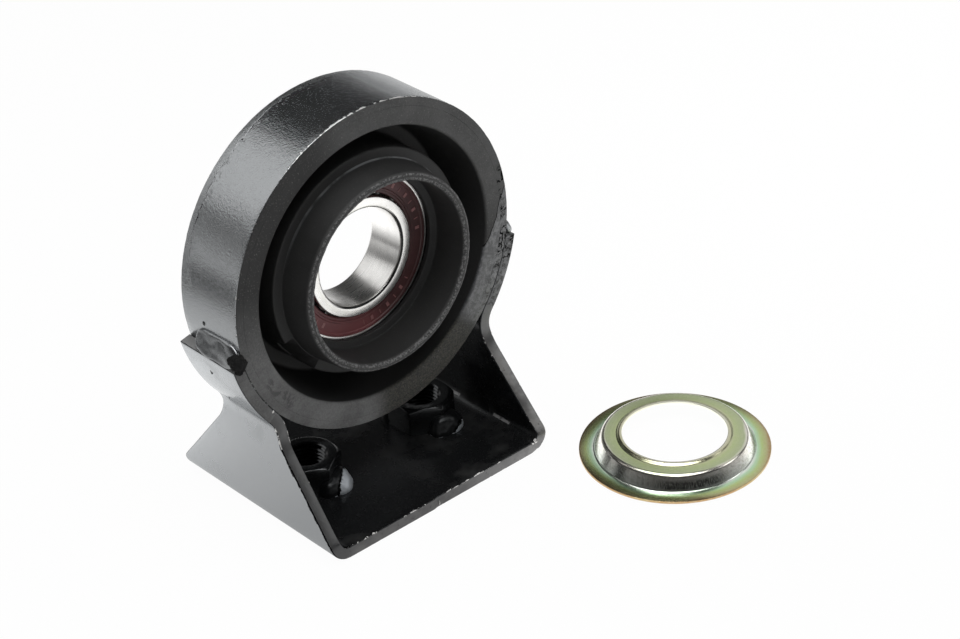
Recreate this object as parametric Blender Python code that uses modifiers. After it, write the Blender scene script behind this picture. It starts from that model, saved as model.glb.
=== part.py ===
"""Driveshaft centre bearing: a sealed ball bearing held by a rubber mount in a steel ring,
which a folded bracket carries. Its dust shield lies beside it, taken off.

The bearing's axis runs along Y, the front faces -Y and the bracket stands on z = 0.
The origin is the centre of the bracket's underside. Lengths are in metres."""
import math

import bmesh
import bpy
from mathutils import Matrix, Vector

MM = 0.001

# clearances
SEAT_GAP = 0.3 * MM          # between pieces that touch on the real object
ROLL_GAP = 0.2 * MM          # between a ball and its raceways or its cage pocket

# whole
AXIS_HEIGHT = 84.0 * MM      # bearing axis above the bracket's underside

# steel housing ring
HOUSING_OUTER_RADIUS = 58.5 * MM
HOUSING_WALL = 3.0 * MM
HOUSING_WIDTH = 29.0 * MM
HOUSING_EDGE = 0.5 * MM

# folded bracket
SHEET = 4.0 * MM
BASE_WIDTH = 97.4 * MM
BASE_DEPTH = 81.0 * MM
FOLD_RADIUS = 7.8 * MM       # outside of the folds between base and sides
LEAVE_ANGLE = -41.5          # degrees on the ring where a side plate meets it
TIP_ANGLE = -12.5            # degrees on the ring where a side plate ends
NECK_RADIUS = 11.0 * MM      # outside of the bend onto the ring
FLARE_FOOT = 6.4 * MM        # height where the sides start to narrow
FLARE_SLOPE = 49.5           # degrees from the horizontal
FLARE_CORNER = 4.5 * MM
WAIST_RADIUS = 16.0 * MM

# weld nuts on the base
NUT_TO_SIDE = 22.9 * MM      # nut's middle to the outside of the side plate
NUT_ACROSS_FLATS = 21.0 * MM
NUT_HEIGHT = 10.4 * MM
NUT_CHAMFER = 1.2 * MM
NUT_CHAMFER_SLOPE = 30.0     # degrees
NUT_BORE_RADIUS = 5.95 * MM  # minor radius of an M14 thread
BASE_HOLE_RADIUS = 7.5 * MM
NUT_WELD_RADIUS = 2.05 * MM
NUT_WELD_LENGTH = 8.6 * MM
NUT_WELD_FACINGS = (("front", -60.0), ("back", 120.0))   # degrees round Z of the welded flats

# welds between the bracket's tips and the ring
TIP_WELD_RADIUS = 1.9 * MM
TIP_WELD_FRONT = -14.2 * MM      # Y of the beads' two ends
TIP_WELD_REAR = 7.0 * MM

# rolling bearing
BEARING_MID = 1.65 * MM      # middle of the bearing along Y
BORE_RADIUS = 17.5 * MM
BEARING_RADIUS = 31.0 * MM
OUTER_RING_WIDTH = 14.0 * MM
INNER_RING_WIDTH = 16.3 * MM
INNER_LAND_RADIUS = 21.4 * MM
OUTER_LAND_RADIUS = 27.1 * MM
RING_CHAMFER = 1.0 * MM
BALL_RADIUS = 3.97 * MM
PITCH_RADIUS = 24.25 * MM
BALL_COUNT = 11

# seals between the two rings
SEAL_RECESS_RADIUS = 28.9 * MM
SEAL_RECESS_DEPTH = 1.8 * MM
SEAL_SET_BACK = 0.35 * MM
SEAL_THICKNESS = 1.1 * MM
SEAL_LIP_WIDTH = 1.4 * MM
SEAL_LIP_GAP = 0.3 * MM

# riveted ribbon cage
CAGE_SHEET = 0.6 * MM
CAGE_BAND = 3.0 * MM         # radial width of the ribbon
RIVET_RADIUS = 0.55 * MM
RIVET_HEAD_RADIUS = 1.05 * MM
RIVET_HEAD_HEIGHT = 0.45 * MM

# rubber mount; its radii are shares of the way from the bearing's seat to the housing ring
FACE_INNER_SHARE = 0.736         # front face, where the channel starts
FACE_EDGE = 0.6 * MM
CHANNEL_FLOOR_SHARE = 0.582
CHANNEL_FLOOR = 6.0 * MM         # Y of the floor of the front channel
WEB_THICKNESS = 4.5 * MM
BUFFER_SHARE = 0.364             # step round the collar's root
BUFFER_FACE = -10.0 * MM         # Y of its front
COLLAR_ROOT_SHARE = 0.209
COLLAR_RIM_SHARE = 0.155
COLLAR_FRONT = -22.0 * MM        # Y of the collar's rim
COLLAR_MOUTH_SHARE = 0.034
RIM_ROUNDING = 1.0 * MM
LIP_OVERLAP = 1.4 * MM           # lips that hold the bearing in its seat
FRONT_LIP = 2.3 * MM
REAR_LIP = 2.6 * MM
REAR_HUB_SHARE = 0.280
REAR_FACE_SHARE = 0.782
BUFFER_NOTCH_ANGLES = (-144.0, -36.0)
BUFFER_NOTCH_WIDTH = 14.5 * MM
BUFFER_NOTCH_DEPTH = 8.0 * MM

# dust shield, lying on the same surface
SHIELD_X = 78.6 * MM
SHIELD_Y = -73.6 * MM
SHIELD_SHEET = 0.8 * MM
SHIELD_RADIUS = 33.5 * MM
SHIELD_ROOT_RADIUS = 28.1 * MM
SHIELD_SHOULDER_RADIUS = 25.4 * MM
SHIELD_SHOULDER = 6.3 * MM       # height of the raised ring's top
SHIELD_LIP_RADIUS = 20.3 * MM
SHIELD_LIP_RISE = 0.7 * MM
SHIELD_LIP_SLOPE = 0.8 * MM      # radial run of the rise
SHIELD_HOLE_RADIUS = 18.4 * MM

# facets
BIG_STEPS = 50
SMALL_STEPS = 44
BORE_STEPS = 24
RIVET_STEPS = 8
TURNED_ARC_STEPS = 2
OUTLINE_ARC_STEPS = 4

# materials: colour, roughness, metallic
PAINT = ("black_paint", (0.028, 0.028, 0.030), 0.32, 0.0)
RUBBER = ("black_rubber", (0.036, 0.037, 0.037), 0.72, 0.0)
BEARING_STEEL = ("ground_steel", (0.72, 0.72, 0.71), 0.22, 1.0)
SEAL_RUBBER = ("seal_rubber", (0.19, 0.055, 0.055), 0.55, 0.0)
CAGE_STEEL = ("pressed_steel", (0.52, 0.51, 0.49), 0.35, 1.0)
WELD_METAL = ("weld_metal", (0.33, 0.33, 0.34), 0.45, 1.0)
PASSIVATED_ZINC = ("passivated_zinc", (0.50, 0.52, 0.33), 0.30, 1.0)

ALONG_Y = Matrix.Rotation(math.radians(-90.0), 4, "X")   # turns a local Z axis onto +Y
AXIS_POINT = Vector((0.0, 0.0, AXIS_HEIGHT))


def clear_scene():
    for old in list(bpy.data.objects):
        bpy.data.objects.remove(old, do_unlink=True)


def new_collection(name):
    collection = bpy.data.collections.new(name)
    bpy.context.scene.collection.children.link(collection)
    return collection


def material(look):
    name, colour, roughness, metallic = look
    made = bpy.data.materials.get(name)
    if made is None:
        made = bpy.data.materials.new(name)
        made.use_nodes = True
        shader = made.node_tree.nodes["Principled BSDF"]
        shader.inputs["Base Color"].default_value = (*colour, 1.0)
        shader.inputs["Roughness"].default_value = roughness
        shader.inputs["Metallic"].default_value = metallic
        made.diffuse_color = (*colour, 1.0)
    return made


def add_object(name, mesh, collection, look=None, place=None):
    thing = bpy.data.objects.new(name, mesh)
    collection.objects.link(thing)
    if place is not None:
        thing.matrix_world = place
    if look is not None:
        mesh.materials.append(material(look))
    return thing


def as_cutter(thing):
    thing.hide_render = True
    thing.display_type = "WIRE"
    return thing


def boolean(target, tool, operation):
    modifier = target.modifiers.new(operation.lower(), "BOOLEAN")
    modifier.operation = operation
    modifier.solver = "EXACT"
    modifier.object = tool
    return modifier


def rounded(corners, steps):
    """Points of an outline whose corners (a, b, radius) are rounded by arcs of some steps."""
    points = []
    for i, (a, b, radius) in enumerate(corners):
        here = Vector((a, b))
        if radius <= 0.0:
            points.append(here)
            continue
        before = (Vector(corners[i - 1][:2]) - here).normalized()
        after = (Vector(corners[(i + 1) % len(corners)][:2]) - here).normalized()
        half = before.angle(after) / 2
        reach = radius / math.tan(half)
        centre = here + (before + after).normalized() * (radius / math.sin(half))
        start = here + before * reach - centre
        sweep = start.angle_signed(here + after * reach - centre)
        for step in range(steps + 1):
            points.append(centre + Matrix.Rotation(-sweep * step / steps, 2) @ start)
    return points


def turned(name, corners, steps, collection, look=None, place=None):
    """A solid turned about local Z from a closed profile of (radius, height, rounding)."""
    points = rounded(corners, TURNED_ARC_STEPS)
    area = sum(p.cross(q) for p, q in zip(points, points[1:] + points[:1]))
    if area > 0:
        points.reverse()
    form = bmesh.new()
    verts = [form.verts.new((p.x, 0.0, p.y)) for p in points]
    for first, second in zip(verts, verts[1:] + verts[:1]):
        if first.co.x > 0.0 or second.co.x > 0.0:
            form.edges.new((first, second))
    mesh = bpy.data.meshes.new(name)
    form.to_mesh(mesh)
    form.free()
    thing = add_object(name, mesh, collection, look, place)
    screw = thing.modifiers.new("turn", "SCREW")
    screw.axis = "Z"
    screw.angle = math.tau
    screw.steps = steps
    screw.render_steps = steps
    screw.use_merge_vertices = True
    screw.merge_threshold = 1e-6
    screw.use_smooth_shade = True
    return thing


def on_bearing_axis(shift=0.0):
    """Placement whose local Z runs along +Y from a point on the bearing's axis."""
    return Matrix.Translation(AXIS_POINT + Vector((0.0, shift, 0.0))) @ ALONG_Y


def plate(name, corners, thickness, collection, place):
    """A flat outline of (a, b, rounding) with a thickness, made a mesh."""
    curve = bpy.data.curves.new(name, "CURVE")
    curve.dimensions = "2D"
    curve.fill_mode = "BOTH"
    curve.extrude = thickness / 2
    points = rounded(corners, OUTLINE_ARC_STEPS)
    spline = curve.splines.new("POLY")
    spline.points.add(len(points) - 1)
    for point, at in zip(spline.points, points):
        point.co = (at.x, at.y, 0.0, 1.0)
    spline.use_cyclic_u = True
    return curve_mesh(name, curve, collection, place)


def curve_mesh(name, curve, collection, place, look=None):
    """A mesh object from a curve, with its caps welded on."""
    guide = bpy.data.objects.new(name + "_curve", curve)
    bpy.context.scene.collection.objects.link(guide)
    guide.matrix_world = place
    bpy.context.view_layer.update()
    mesh = bpy.data.meshes.new_from_object(guide.evaluated_get(bpy.context.evaluated_depsgraph_get()))
    bpy.data.objects.remove(guide, do_unlink=True)
    form = bmesh.new()
    form.from_mesh(mesh)
    bmesh.ops.remove_doubles(form, verts=form.verts, dist=1e-6)
    bmesh.ops.recalc_face_normals(form, faces=form.faces)
    form.to_mesh(mesh)
    form.free()
    mesh.materials.clear()
    return add_object(name, mesh, collection, look, place)


def rod(name, radius, ends, collection, look=None):
    """A straight round rod between two points."""
    curve = bpy.data.curves.new(name, "CURVE")
    curve.dimensions = "3D"
    curve.bevel_depth = radius
    curve.bevel_resolution = 3
    curve.use_fill_caps = True
    spline = curve.splines.new("POLY")
    spline.points.add(1)
    for point, at in zip(spline.points, ends):
        point.co = (*at, 1.0)
    return curve_mesh(name, curve, collection, Matrix.Identity(4), look)


def cylinder_cutter(name, radius, low, high, x, collection):
    corners = [(0.0, low, 0.0), (radius, low, 0.0), (radius, high, 0.0), (0.0, high, 0.0)]
    return as_cutter(turned(name, corners, BORE_STEPS, collection, place=Matrix.Translation((x, 0.0, 0.0))))


def housing_ring(parts):
    half = HOUSING_WIDTH / 2
    inner = HOUSING_OUTER_RADIUS - HOUSING_WALL
    corners = [
        (inner, half, 0.0),
        (HOUSING_OUTER_RADIUS - HOUSING_EDGE, half, 0.0),
        (HOUSING_OUTER_RADIUS, half - HOUSING_EDGE, 0.0),
        (HOUSING_OUTER_RADIUS, -half + HOUSING_EDGE, 0.0),
        (HOUSING_OUTER_RADIUS - HOUSING_EDGE, -half, 0.0),
        (inner, -half, 0.0),
    ]
    return turned("housing_ring", corners, BIG_STEPS, parts, PAINT, on_bearing_axis())


def seat_wall():
    """Radius of the rubber's bore over the bearing, and the bearing's two ends along Y."""
    half = OUTER_RING_WIDTH / 2 + SEAT_GAP
    return BEARING_RADIUS + SEAT_GAP, BEARING_MID - half, BEARING_MID + half


def rubber_radius(share):
    """A radius of the rubber, as a share of the way from its seat to its outside."""
    seat = seat_wall()[0]
    return seat + share * (HOUSING_OUTER_RADIUS - HOUSING_WALL - SEAT_GAP - seat)


def rubber_mount(parts, cutters):
    half = HOUSING_WIDTH / 2
    seat, seat_front, seat_rear = seat_wall()
    web_rear = CHANNEL_FLOOR + WEB_THICKNESS
    lip = BEARING_RADIUS - LIP_OVERLAP
    lip_rear = seat_rear + REAR_LIP
    outer = rubber_radius(1.0)
    channel_outside = rubber_radius(CHANNEL_FLOOR_SHARE)
    buffer = rubber_radius(BUFFER_SHARE)
    root = rubber_radius(COLLAR_ROOT_SHARE)
    mouth = rubber_radius(COLLAR_MOUTH_SHARE)
    rear_hub = rubber_radius(REAR_HUB_SHARE)
    rear_face = rubber_radius(REAR_FACE_SHARE)
    corners = [
        (outer, -half, 0.0),
        (rubber_radius(FACE_INNER_SHARE), -half, FACE_EDGE),
        (channel_outside, CHANNEL_FLOOR, 1.5 * FACE_EDGE),
        (buffer, CHANNEL_FLOOR, 1.5 * FACE_EDGE),
        (buffer, BUFFER_FACE, FACE_EDGE),
        (root, BUFFER_FACE, 0.0),
        (rubber_radius(COLLAR_RIM_SHARE), COLLAR_FRONT, RIM_ROUNDING),
        (mouth, COLLAR_FRONT, RIM_ROUNDING),
        (mouth, seat_front - FRONT_LIP, 0.0),
        (lip, seat_front - 0.7 * FRONT_LIP, 0.0),
        (lip, seat_front, 0.0),
        (seat, seat_front, 0.0),
        (seat, seat_rear, 0.0),
        (lip, seat_rear, 0.0),
        (lip, lip_rear, 0.0),
        (rear_hub, lip_rear, FACE_EDGE),
        (rear_hub + WEB_THICKNESS / 2, web_rear, 0.0),
        (rear_face - WEB_THICKNESS / 2, web_rear, 0.0),
        (rear_face, half, FACE_EDGE),
        (outer, half, 0.0),
    ]
    mount = turned("rubber_mount", corners, BIG_STEPS, parts, RUBBER, on_bearing_axis())
    inside = root + 2 * FACE_EDGE
    outside = (buffer + channel_outside) / 2
    for i, angle in enumerate(BUFFER_NOTCH_ANGLES, start=1):
        notch = bmesh.new()
        bmesh.ops.create_cube(notch, size=1.0)
        size = (outside - inside, 2 * BUFFER_NOTCH_DEPTH, BUFFER_NOTCH_WIDTH)
        bmesh.ops.scale(notch, vec=size, verts=notch.verts)
        mesh = bpy.data.meshes.new(f"buffer_notch_{i}")
        notch.to_mesh(mesh)
        notch.free()
        turn = Matrix.Rotation(math.radians(-angle), 4, "Y")
        shift = Matrix.Translation(((inside + outside) / 2, BUFFER_FACE, 0.0))
        place = Matrix.Translation(AXIS_POINT) @ turn @ shift
        cutter = as_cutter(add_object(mesh.name, mesh, cutters, place=place))
        boolean(mount, cutter, "DIFFERENCE")
    return mount


def race_arc(land, side):
    """Profile points of a raceway groove between its two edges on a land's radius."""
    groove = BALL_RADIUS + ROLL_GAP
    reach = math.acos(abs(land - PITCH_RADIUS) / groove)
    count = 6
    arc = []
    for step in range(count + 1):
        angle = -reach + 2 * reach * step / count
        arc.append((PITCH_RADIUS + side * groove * math.cos(angle), groove * math.sin(angle), 0.0))
    return arc


def outer_ring(parts):
    half = OUTER_RING_WIDTH / 2
    recess = half - SEAL_RECESS_DEPTH
    corners = [
        (BEARING_RADIUS - RING_CHAMFER, half, 0.0),
        (BEARING_RADIUS, half - RING_CHAMFER, 0.0),
        (BEARING_RADIUS, -half + RING_CHAMFER, 0.0),
        (BEARING_RADIUS - RING_CHAMFER, -half, 0.0),
        (SEAL_RECESS_RADIUS, -half, 0.0),
        (SEAL_RECESS_RADIUS, -recess, 0.0),
        (OUTER_LAND_RADIUS, -recess, 0.0),
        *race_arc(OUTER_LAND_RADIUS, 1.0),
        (OUTER_LAND_RADIUS, recess, 0.0),
        (SEAL_RECESS_RADIUS, recess, 0.0),
        (SEAL_RECESS_RADIUS, half, 0.0),
    ]
    place = on_bearing_axis(BEARING_MID)
    return turned("outer_ring", corners, SMALL_STEPS, parts, BEARING_STEEL, place)


def inner_ring(parts):
    half = INNER_RING_WIDTH / 2
    corners = [
        (BORE_RADIUS + RING_CHAMFER, half, 0.0),
        (INNER_LAND_RADIUS - RING_CHAMFER / 3, half, 0.0),
        (INNER_LAND_RADIUS, half - RING_CHAMFER / 3, 0.0),
        *reversed(race_arc(INNER_LAND_RADIUS, -1.0)),
        (INNER_LAND_RADIUS, -half + RING_CHAMFER / 3, 0.0),
        (INNER_LAND_RADIUS - RING_CHAMFER / 3, -half, 0.0),
        (BORE_RADIUS + RING_CHAMFER, -half, 0.0),
        (BORE_RADIUS, -half + RING_CHAMFER, 0.0),
        (BORE_RADIUS, half - RING_CHAMFER, 0.0),
    ]
    place = on_bearing_axis(BEARING_MID)
    return turned("inner_ring", corners, SMALL_STEPS, parts, BEARING_STEEL, place)


def seal(name, side, parts):
    """One rubber seal; side is -1 at the front and +1 at the rear."""
    outer = SEAL_RECESS_RADIUS - SEAT_GAP
    lip = INNER_LAND_RADIUS + SEAL_LIP_GAP
    face = OUTER_RING_WIDTH / 2 - SEAL_SET_BACK
    back = face - SEAL_THICKNESS
    corners = [
        (outer, back, 0.0),
        (outer, face, 0.0),
        (lip + SEAL_LIP_WIDTH, face, 0.0),
        (lip, face - SEAL_THICKNESS / 3, 0.0),
        (lip, back, 0.0),
    ]
    flip = Matrix.Rotation(math.pi if side < 0 else 0.0, 4, "X")
    place = on_bearing_axis(BEARING_MID) @ flip
    return turned(name, corners, SMALL_STEPS, parts, SEAL_RUBBER, place)


def ball_angle(index):
    return math.tau * index / BALL_COUNT


def on_pitch_circle(angle):
    """Point of the pitch circle in the bearing's middle plane."""
    reach = Vector((math.cos(angle), 0.0, math.sin(angle))) * PITCH_RADIUS
    return AXIS_POINT + Vector((0.0, BEARING_MID, 0.0)) + reach


def balls(parts):
    mesh = bpy.data.meshes.new("ball")
    form = bmesh.new()
    bmesh.ops.create_uvsphere(form, u_segments=12, v_segments=7, radius=BALL_RADIUS)
    form.to_mesh(mesh)
    form.free()
    mesh.shade_smooth()
    mesh.materials.append(material(BEARING_STEEL))
    for i in range(BALL_COUNT):
        place = Matrix.Translation(on_pitch_circle(ball_angle(i)))
        add_object(f"ball_{i + 1}", mesh, parts, place=place)


def pocket_wave():
    """Angle and height of the ribbon's inner face over one pocket."""
    pocket = BALL_RADIUS + ROLL_GAP
    joint = SEAT_GAP / 2
    count = 6
    start = math.asin(joint / pocket)
    wave = []
    for step in range(count + 1):
        turn = math.pi - start - (math.pi - 2 * start) * step / count
        across = pocket * math.cos(turn) / PITCH_RADIUS
        wave.append((across, pocket * math.sin(turn)))
    return wave


def rivet_angle(index):
    return ball_angle(index + 0.5)


def cage_half(name, side, parts, cutters):
    """A pressed ribbon with half a pocket round each ball; side is -1 at the front."""
    wave = pocket_wave()
    stations = [(ball_angle(i) + across, side * height) for i in range(BALL_COUNT) for across, height in wave]
    form = bmesh.new()
    rails = []
    for radius in (PITCH_RADIUS - CAGE_BAND / 2, PITCH_RADIUS + CAGE_BAND / 2):
        verts = [form.verts.new((radius * math.cos(a), y, radius * math.sin(a))) for a, y in stations]
        rails.append([form.edges.new((p, q)) for p, q in zip(verts, verts[1:] + verts[:1])])
    bmesh.ops.bridge_loops(form, edges=rails[0] + rails[1])
    bmesh.ops.recalc_face_normals(form, faces=form.faces)
    flat = max(form.faces, key=lambda f: abs(f.normal.y))
    if flat.normal.y * side < 0:
        bmesh.ops.reverse_faces(form, faces=form.faces)
    mesh = bpy.data.meshes.new(name)
    form.to_mesh(mesh)
    form.free()
    place = Matrix.Translation(AXIS_POINT + Vector((0.0, BEARING_MID, 0.0)))
    half = add_object(name, mesh, parts, CAGE_STEEL, place)
    wall = half.modifiers.new("sheet", "SOLIDIFY")
    wall.thickness = CAGE_SHEET
    wall.offset = 1.0
    wall.use_even_offset = True
    for i in range(BALL_COUNT):
        angle = rivet_angle(i)
        hole = RIVET_RADIUS + SEAT_GAP
        reach = 3 * CAGE_SHEET
        corners = [(0.0, -reach, 0.0), (hole, -reach, 0.0), (hole, reach, 0.0), (0.0, reach, 0.0)]
        spot = Matrix.Translation(on_pitch_circle(angle)) @ ALONG_Y
        cutter = as_cutter(turned(f"{name}_hole_{i + 1}", corners, RIVET_STEPS, cutters, place=spot))
        boolean(half, cutter, "DIFFERENCE")
    return half


def rivets(parts):
    grip = SEAT_GAP / 2 + CAGE_SHEET + SEAT_GAP
    top = grip + RIVET_HEAD_HEIGHT
    corners = [
        (0.0, top, 0.0),
        (RIVET_HEAD_RADIUS, top, 0.0),
        (RIVET_HEAD_RADIUS, grip, 0.0),
        (RIVET_RADIUS, grip, 0.0),
        (RIVET_RADIUS, -grip, 0.0),
        (RIVET_HEAD_RADIUS, -grip, 0.0),
        (RIVET_HEAD_RADIUS, -top, 0.0),
        (0.0, -top, 0.0),
    ]
    for i in range(BALL_COUNT):
        place = Matrix.Translation(on_pitch_circle(rivet_angle(i))) @ ALONG_Y
        turned(f"rivet_{i + 1}", corners, RIVET_STEPS, parts, CAGE_STEEL, place)


def bracket_outside():
    """Outer face of the folded strip as (x, z) points, from the right tip round to the left."""
    radius = HOUSING_OUTER_RADIUS + SEAT_GAP + SHEET
    count = 6
    hug = []
    for step in range(count + 1):
        angle = math.radians(TIP_ANGLE + (LEAVE_ANGLE - TIP_ANGLE) * step / count)
        hug.append((radius * math.cos(angle), AXIS_HEIGHT + radius * math.sin(angle), 0.0))
    leave = Vector(hug[-1][:2])
    fold = Vector((BASE_WIDTH / 2 - FOLD_RADIUS, FOLD_RADIUS))
    to_leave = leave - fold
    lean = math.atan2(to_leave.y, to_leave.x) - math.acos(FOLD_RADIUS / to_leave.length)
    corner = fold + Vector((math.cos(lean), math.sin(lean))) * FOLD_RADIUS
    along = Vector((-math.sin(lean), math.cos(lean)))
    foot = corner - along * (corner.y / along.y)
    hug.pop()
    # points that the neck's bend reaches past give way to it
    while len(hug) > 1:
        back = Vector(hug[-1][:2]) - leave
        if back.length > NECK_RADIUS / math.tan(back.angle(foot - leave) / 2):
            break
        hug.pop()
    half = hug + [(leave.x, leave.y, NECK_RADIUS), (foot.x, foot.y, FOLD_RADIUS)]
    other = [(-x, z, r) for x, z, r in reversed(half)]
    return rounded(half + other, OUTLINE_ARC_STEPS)


def side_outline():
    """The bracket seen from the side as (y, z): wide at the base, as narrow as the ring above."""
    wide = BASE_DEPTH / 2
    narrow = HOUSING_WIDTH / 2
    waist = FLARE_FOOT + (wide - narrow) * math.tan(math.radians(FLARE_SLOPE))
    half = [
        (wide, -SHEET, 0.0),
        (wide, FLARE_FOOT, FLARE_CORNER),
        (narrow, waist, WAIST_RADIUS),
        (narrow, AXIS_HEIGHT, 0.0),
    ]
    return half + [(-y, z, r) for y, z, r in reversed(half)]


def bracket(parts, cutters):
    points = bracket_outside()
    reach = BASE_DEPTH / 2 + SHEET
    form = bmesh.new()
    verts = [form.verts.new((p.x, -reach, p.y)) for p in points]
    edges = [form.edges.new(pair) for pair in zip(verts, verts[1:])]
    strip = bmesh.ops.extrude_edge_only(form, edges=edges)
    moved = [part for part in strip["geom"] if isinstance(part, bmesh.types.BMVert)]
    bmesh.ops.translate(form, verts=moved, vec=(0.0, 2 * reach, 0.0))
    base = min(form.faces, key=lambda f: f.calc_center_median().z)
    if base.normal.z > 0:
        bmesh.ops.reverse_faces(form, faces=form.faces)
    mesh = bpy.data.meshes.new("bracket")
    form.to_mesh(mesh)
    form.free()
    folded = add_object("bracket", mesh, parts, PAINT)
    wall = folded.modifiers.new("sheet", "SOLIDIFY")
    wall.thickness = SHEET
    wall.offset = -1.0
    wall.use_even_offset = True
    width = 2 * (BASE_WIDTH + HOUSING_OUTER_RADIUS)
    stand = Matrix(((0, 0, 1, 0), (1, 0, 0, 0), (0, 1, 0, 0), (0, 0, 0, 1)))
    trim = as_cutter(plate("side_trim", side_outline(), width, cutters, stand))
    boolean(folded, trim, "INTERSECT")
    for side in (-1, 1):
        x = side * (BASE_WIDTH / 2 - NUT_TO_SIDE)
        cutter = cylinder_cutter(f"bolt_hole_{side + 2}", BASE_HOLE_RADIUS, -SHEET, 2 * SHEET, x, cutters)
        boolean(folded, cutter, "DIFFERENCE")
    return folded


def weld_nut(name, side, parts, cutters):
    x = side * (BASE_WIDTH / 2 - NUT_TO_SIDE)
    low = SHEET + SEAT_GAP
    corner = NUT_ACROSS_FLATS / math.sqrt(3)
    form = bmesh.new()
    bmesh.ops.create_cone(
        form, cap_ends=True, segments=6, radius1=corner, radius2=corner, depth=NUT_HEIGHT)
    mesh = bpy.data.meshes.new(name)
    form.to_mesh(mesh)
    form.free()
    place = Matrix.Translation((x, 0.0, low + NUT_HEIGHT / 2))
    nut = add_object(name, mesh, parts, PAINT, place)
    top = NUT_HEIGHT / 2
    face = NUT_ACROSS_FLATS / 2 - NUT_CHAMFER / 4
    rim = corner + NUT_CHAMFER
    drop = (rim - face) * math.tan(math.radians(NUT_CHAMFER_SLOPE))
    corners = [
        (0.0, -NUT_HEIGHT, 0.0),
        (rim, -NUT_HEIGHT, 0.0),
        (rim, top - drop, 0.0),
        (face, top, 0.0),
        (0.0, top, 0.0),
    ]
    blank = as_cutter(turned(f"{name}_blank", corners, BORE_STEPS, cutters, place=place))
    boolean(nut, blank, "INTERSECT")
    bore = cylinder_cutter(f"{name}_bore", NUT_BORE_RADIUS, 0.0, low + 2 * NUT_HEIGHT, x, cutters)
    boolean(nut, bore, "DIFFERENCE")
    return nut


def nut_welds(parts):
    """Two short beads for each nut, along two of its opposite flats."""
    off = NUT_ACROSS_FLATS / 2 + SEAT_GAP + NUT_WELD_RADIUS
    for name, side in (("left", -1), ("right", 1)):
        middle = Vector((side * (BASE_WIDTH / 2 - NUT_TO_SIDE), 0.0, SHEET + SEAT_GAP + NUT_WELD_RADIUS))
        for end, facing in NUT_WELD_FACINGS:
            out = Vector((math.cos(math.radians(facing)), math.sin(math.radians(facing)), 0.0))
            along = Vector((-out.y, out.x, 0.0)) * NUT_WELD_LENGTH / 2
            ends = [middle + out * off - along, middle + out * off + along]
            rod(f"nut_weld_{name}_{end}", NUT_WELD_RADIUS, ends, parts, WELD_METAL)


def tip_welds(parts):
    """A bead along each tip of the bracket, in the corner between its edge and the ring."""
    radius = HOUSING_OUTER_RADIUS + SEAT_GAP + TIP_WELD_RADIUS
    angle = math.radians(TIP_ANGLE) + (TIP_WELD_RADIUS + 1.5 * SEAT_GAP) / radius
    for name, side in (("left", -1), ("right", 1)):
        x = side * radius * math.cos(angle)
        z = AXIS_HEIGHT + radius * math.sin(angle)
        ends = [(x, TIP_WELD_FRONT, z), (x, TIP_WELD_REAR, z)]
        rod(f"ring_weld_{name}", TIP_WELD_RADIUS, ends, parts, WELD_METAL)


def dust_shield(parts):
    sheet = SHIELD_SHEET
    top = SHIELD_SHOULDER
    raised = top + SHIELD_LIP_RISE
    upper = [
        (SHIELD_RADIUS, sheet, 0.0),
        (SHIELD_ROOT_RADIUS, sheet, 0.5 * MM),
        (SHIELD_SHOULDER_RADIUS, top, 1.0 * MM),
        (SHIELD_LIP_RADIUS, top, 0.0),
        (SHIELD_LIP_RADIUS - SHIELD_LIP_SLOPE, raised, 0.0),
        (SHIELD_HOLE_RADIUS, raised, 0.0),
    ]
    lower = [
        (SHIELD_HOLE_RADIUS, raised - sheet, 0.0),
        (SHIELD_LIP_RADIUS - SHIELD_LIP_SLOPE - sheet / 3, raised - sheet, 0.0),
        (SHIELD_LIP_RADIUS - sheet / 3, top - sheet, 0.0),
        (SHIELD_SHOULDER_RADIUS - 0.8 * sheet, top - sheet, 0.5 * MM),
        (SHIELD_ROOT_RADIUS - 0.8 * sheet, 0.0, 0.0),
        (SHIELD_RADIUS, 0.0, 0.0),
    ]
    place = Matrix.Translation((SHIELD_X, SHIELD_Y, 0.0))
    return turned("dust_shield", upper + lower, SMALL_STEPS, parts, PASSIVATED_ZINC, place)


def main():
    clear_scene()
    parts = new_collection("driveshaft_centre_bearing")
    cutters = new_collection("cutters")
    housing_ring(parts)
    rubber_mount(parts, cutters)
    outer_ring(parts)
    inner_ring(parts)
    seal("front_seal", -1, parts)
    seal("rear_seal", 1, parts)
    balls(parts)
    cage_half("cage_front", -1, parts, cutters)
    cage_half("cage_rear", 1, parts, cutters)
    rivets(parts)
    bracket(parts, cutters)
    weld_nut("weld_nut_left", -1, parts, cutters)
    weld_nut("weld_nut_right", 1, parts, cutters)
    nut_welds(parts)
    tip_welds(parts)
    dust_shield(parts)


main()
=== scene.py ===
import math
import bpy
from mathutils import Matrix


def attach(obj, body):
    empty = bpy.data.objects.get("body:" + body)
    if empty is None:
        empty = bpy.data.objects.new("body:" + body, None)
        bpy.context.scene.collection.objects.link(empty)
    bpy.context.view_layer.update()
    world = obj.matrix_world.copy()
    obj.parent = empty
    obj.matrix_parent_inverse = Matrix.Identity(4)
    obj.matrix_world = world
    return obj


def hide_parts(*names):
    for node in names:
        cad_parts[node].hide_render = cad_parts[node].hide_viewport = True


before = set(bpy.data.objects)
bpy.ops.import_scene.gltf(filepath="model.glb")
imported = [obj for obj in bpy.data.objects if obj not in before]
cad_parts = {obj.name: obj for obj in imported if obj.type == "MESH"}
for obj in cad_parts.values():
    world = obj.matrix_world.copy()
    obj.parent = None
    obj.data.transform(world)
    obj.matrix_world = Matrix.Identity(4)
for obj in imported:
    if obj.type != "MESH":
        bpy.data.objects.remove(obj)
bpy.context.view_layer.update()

from types import SimpleNamespace

import bmesh
import bpy
from mathutils import Matrix, Vector, noise

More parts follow.
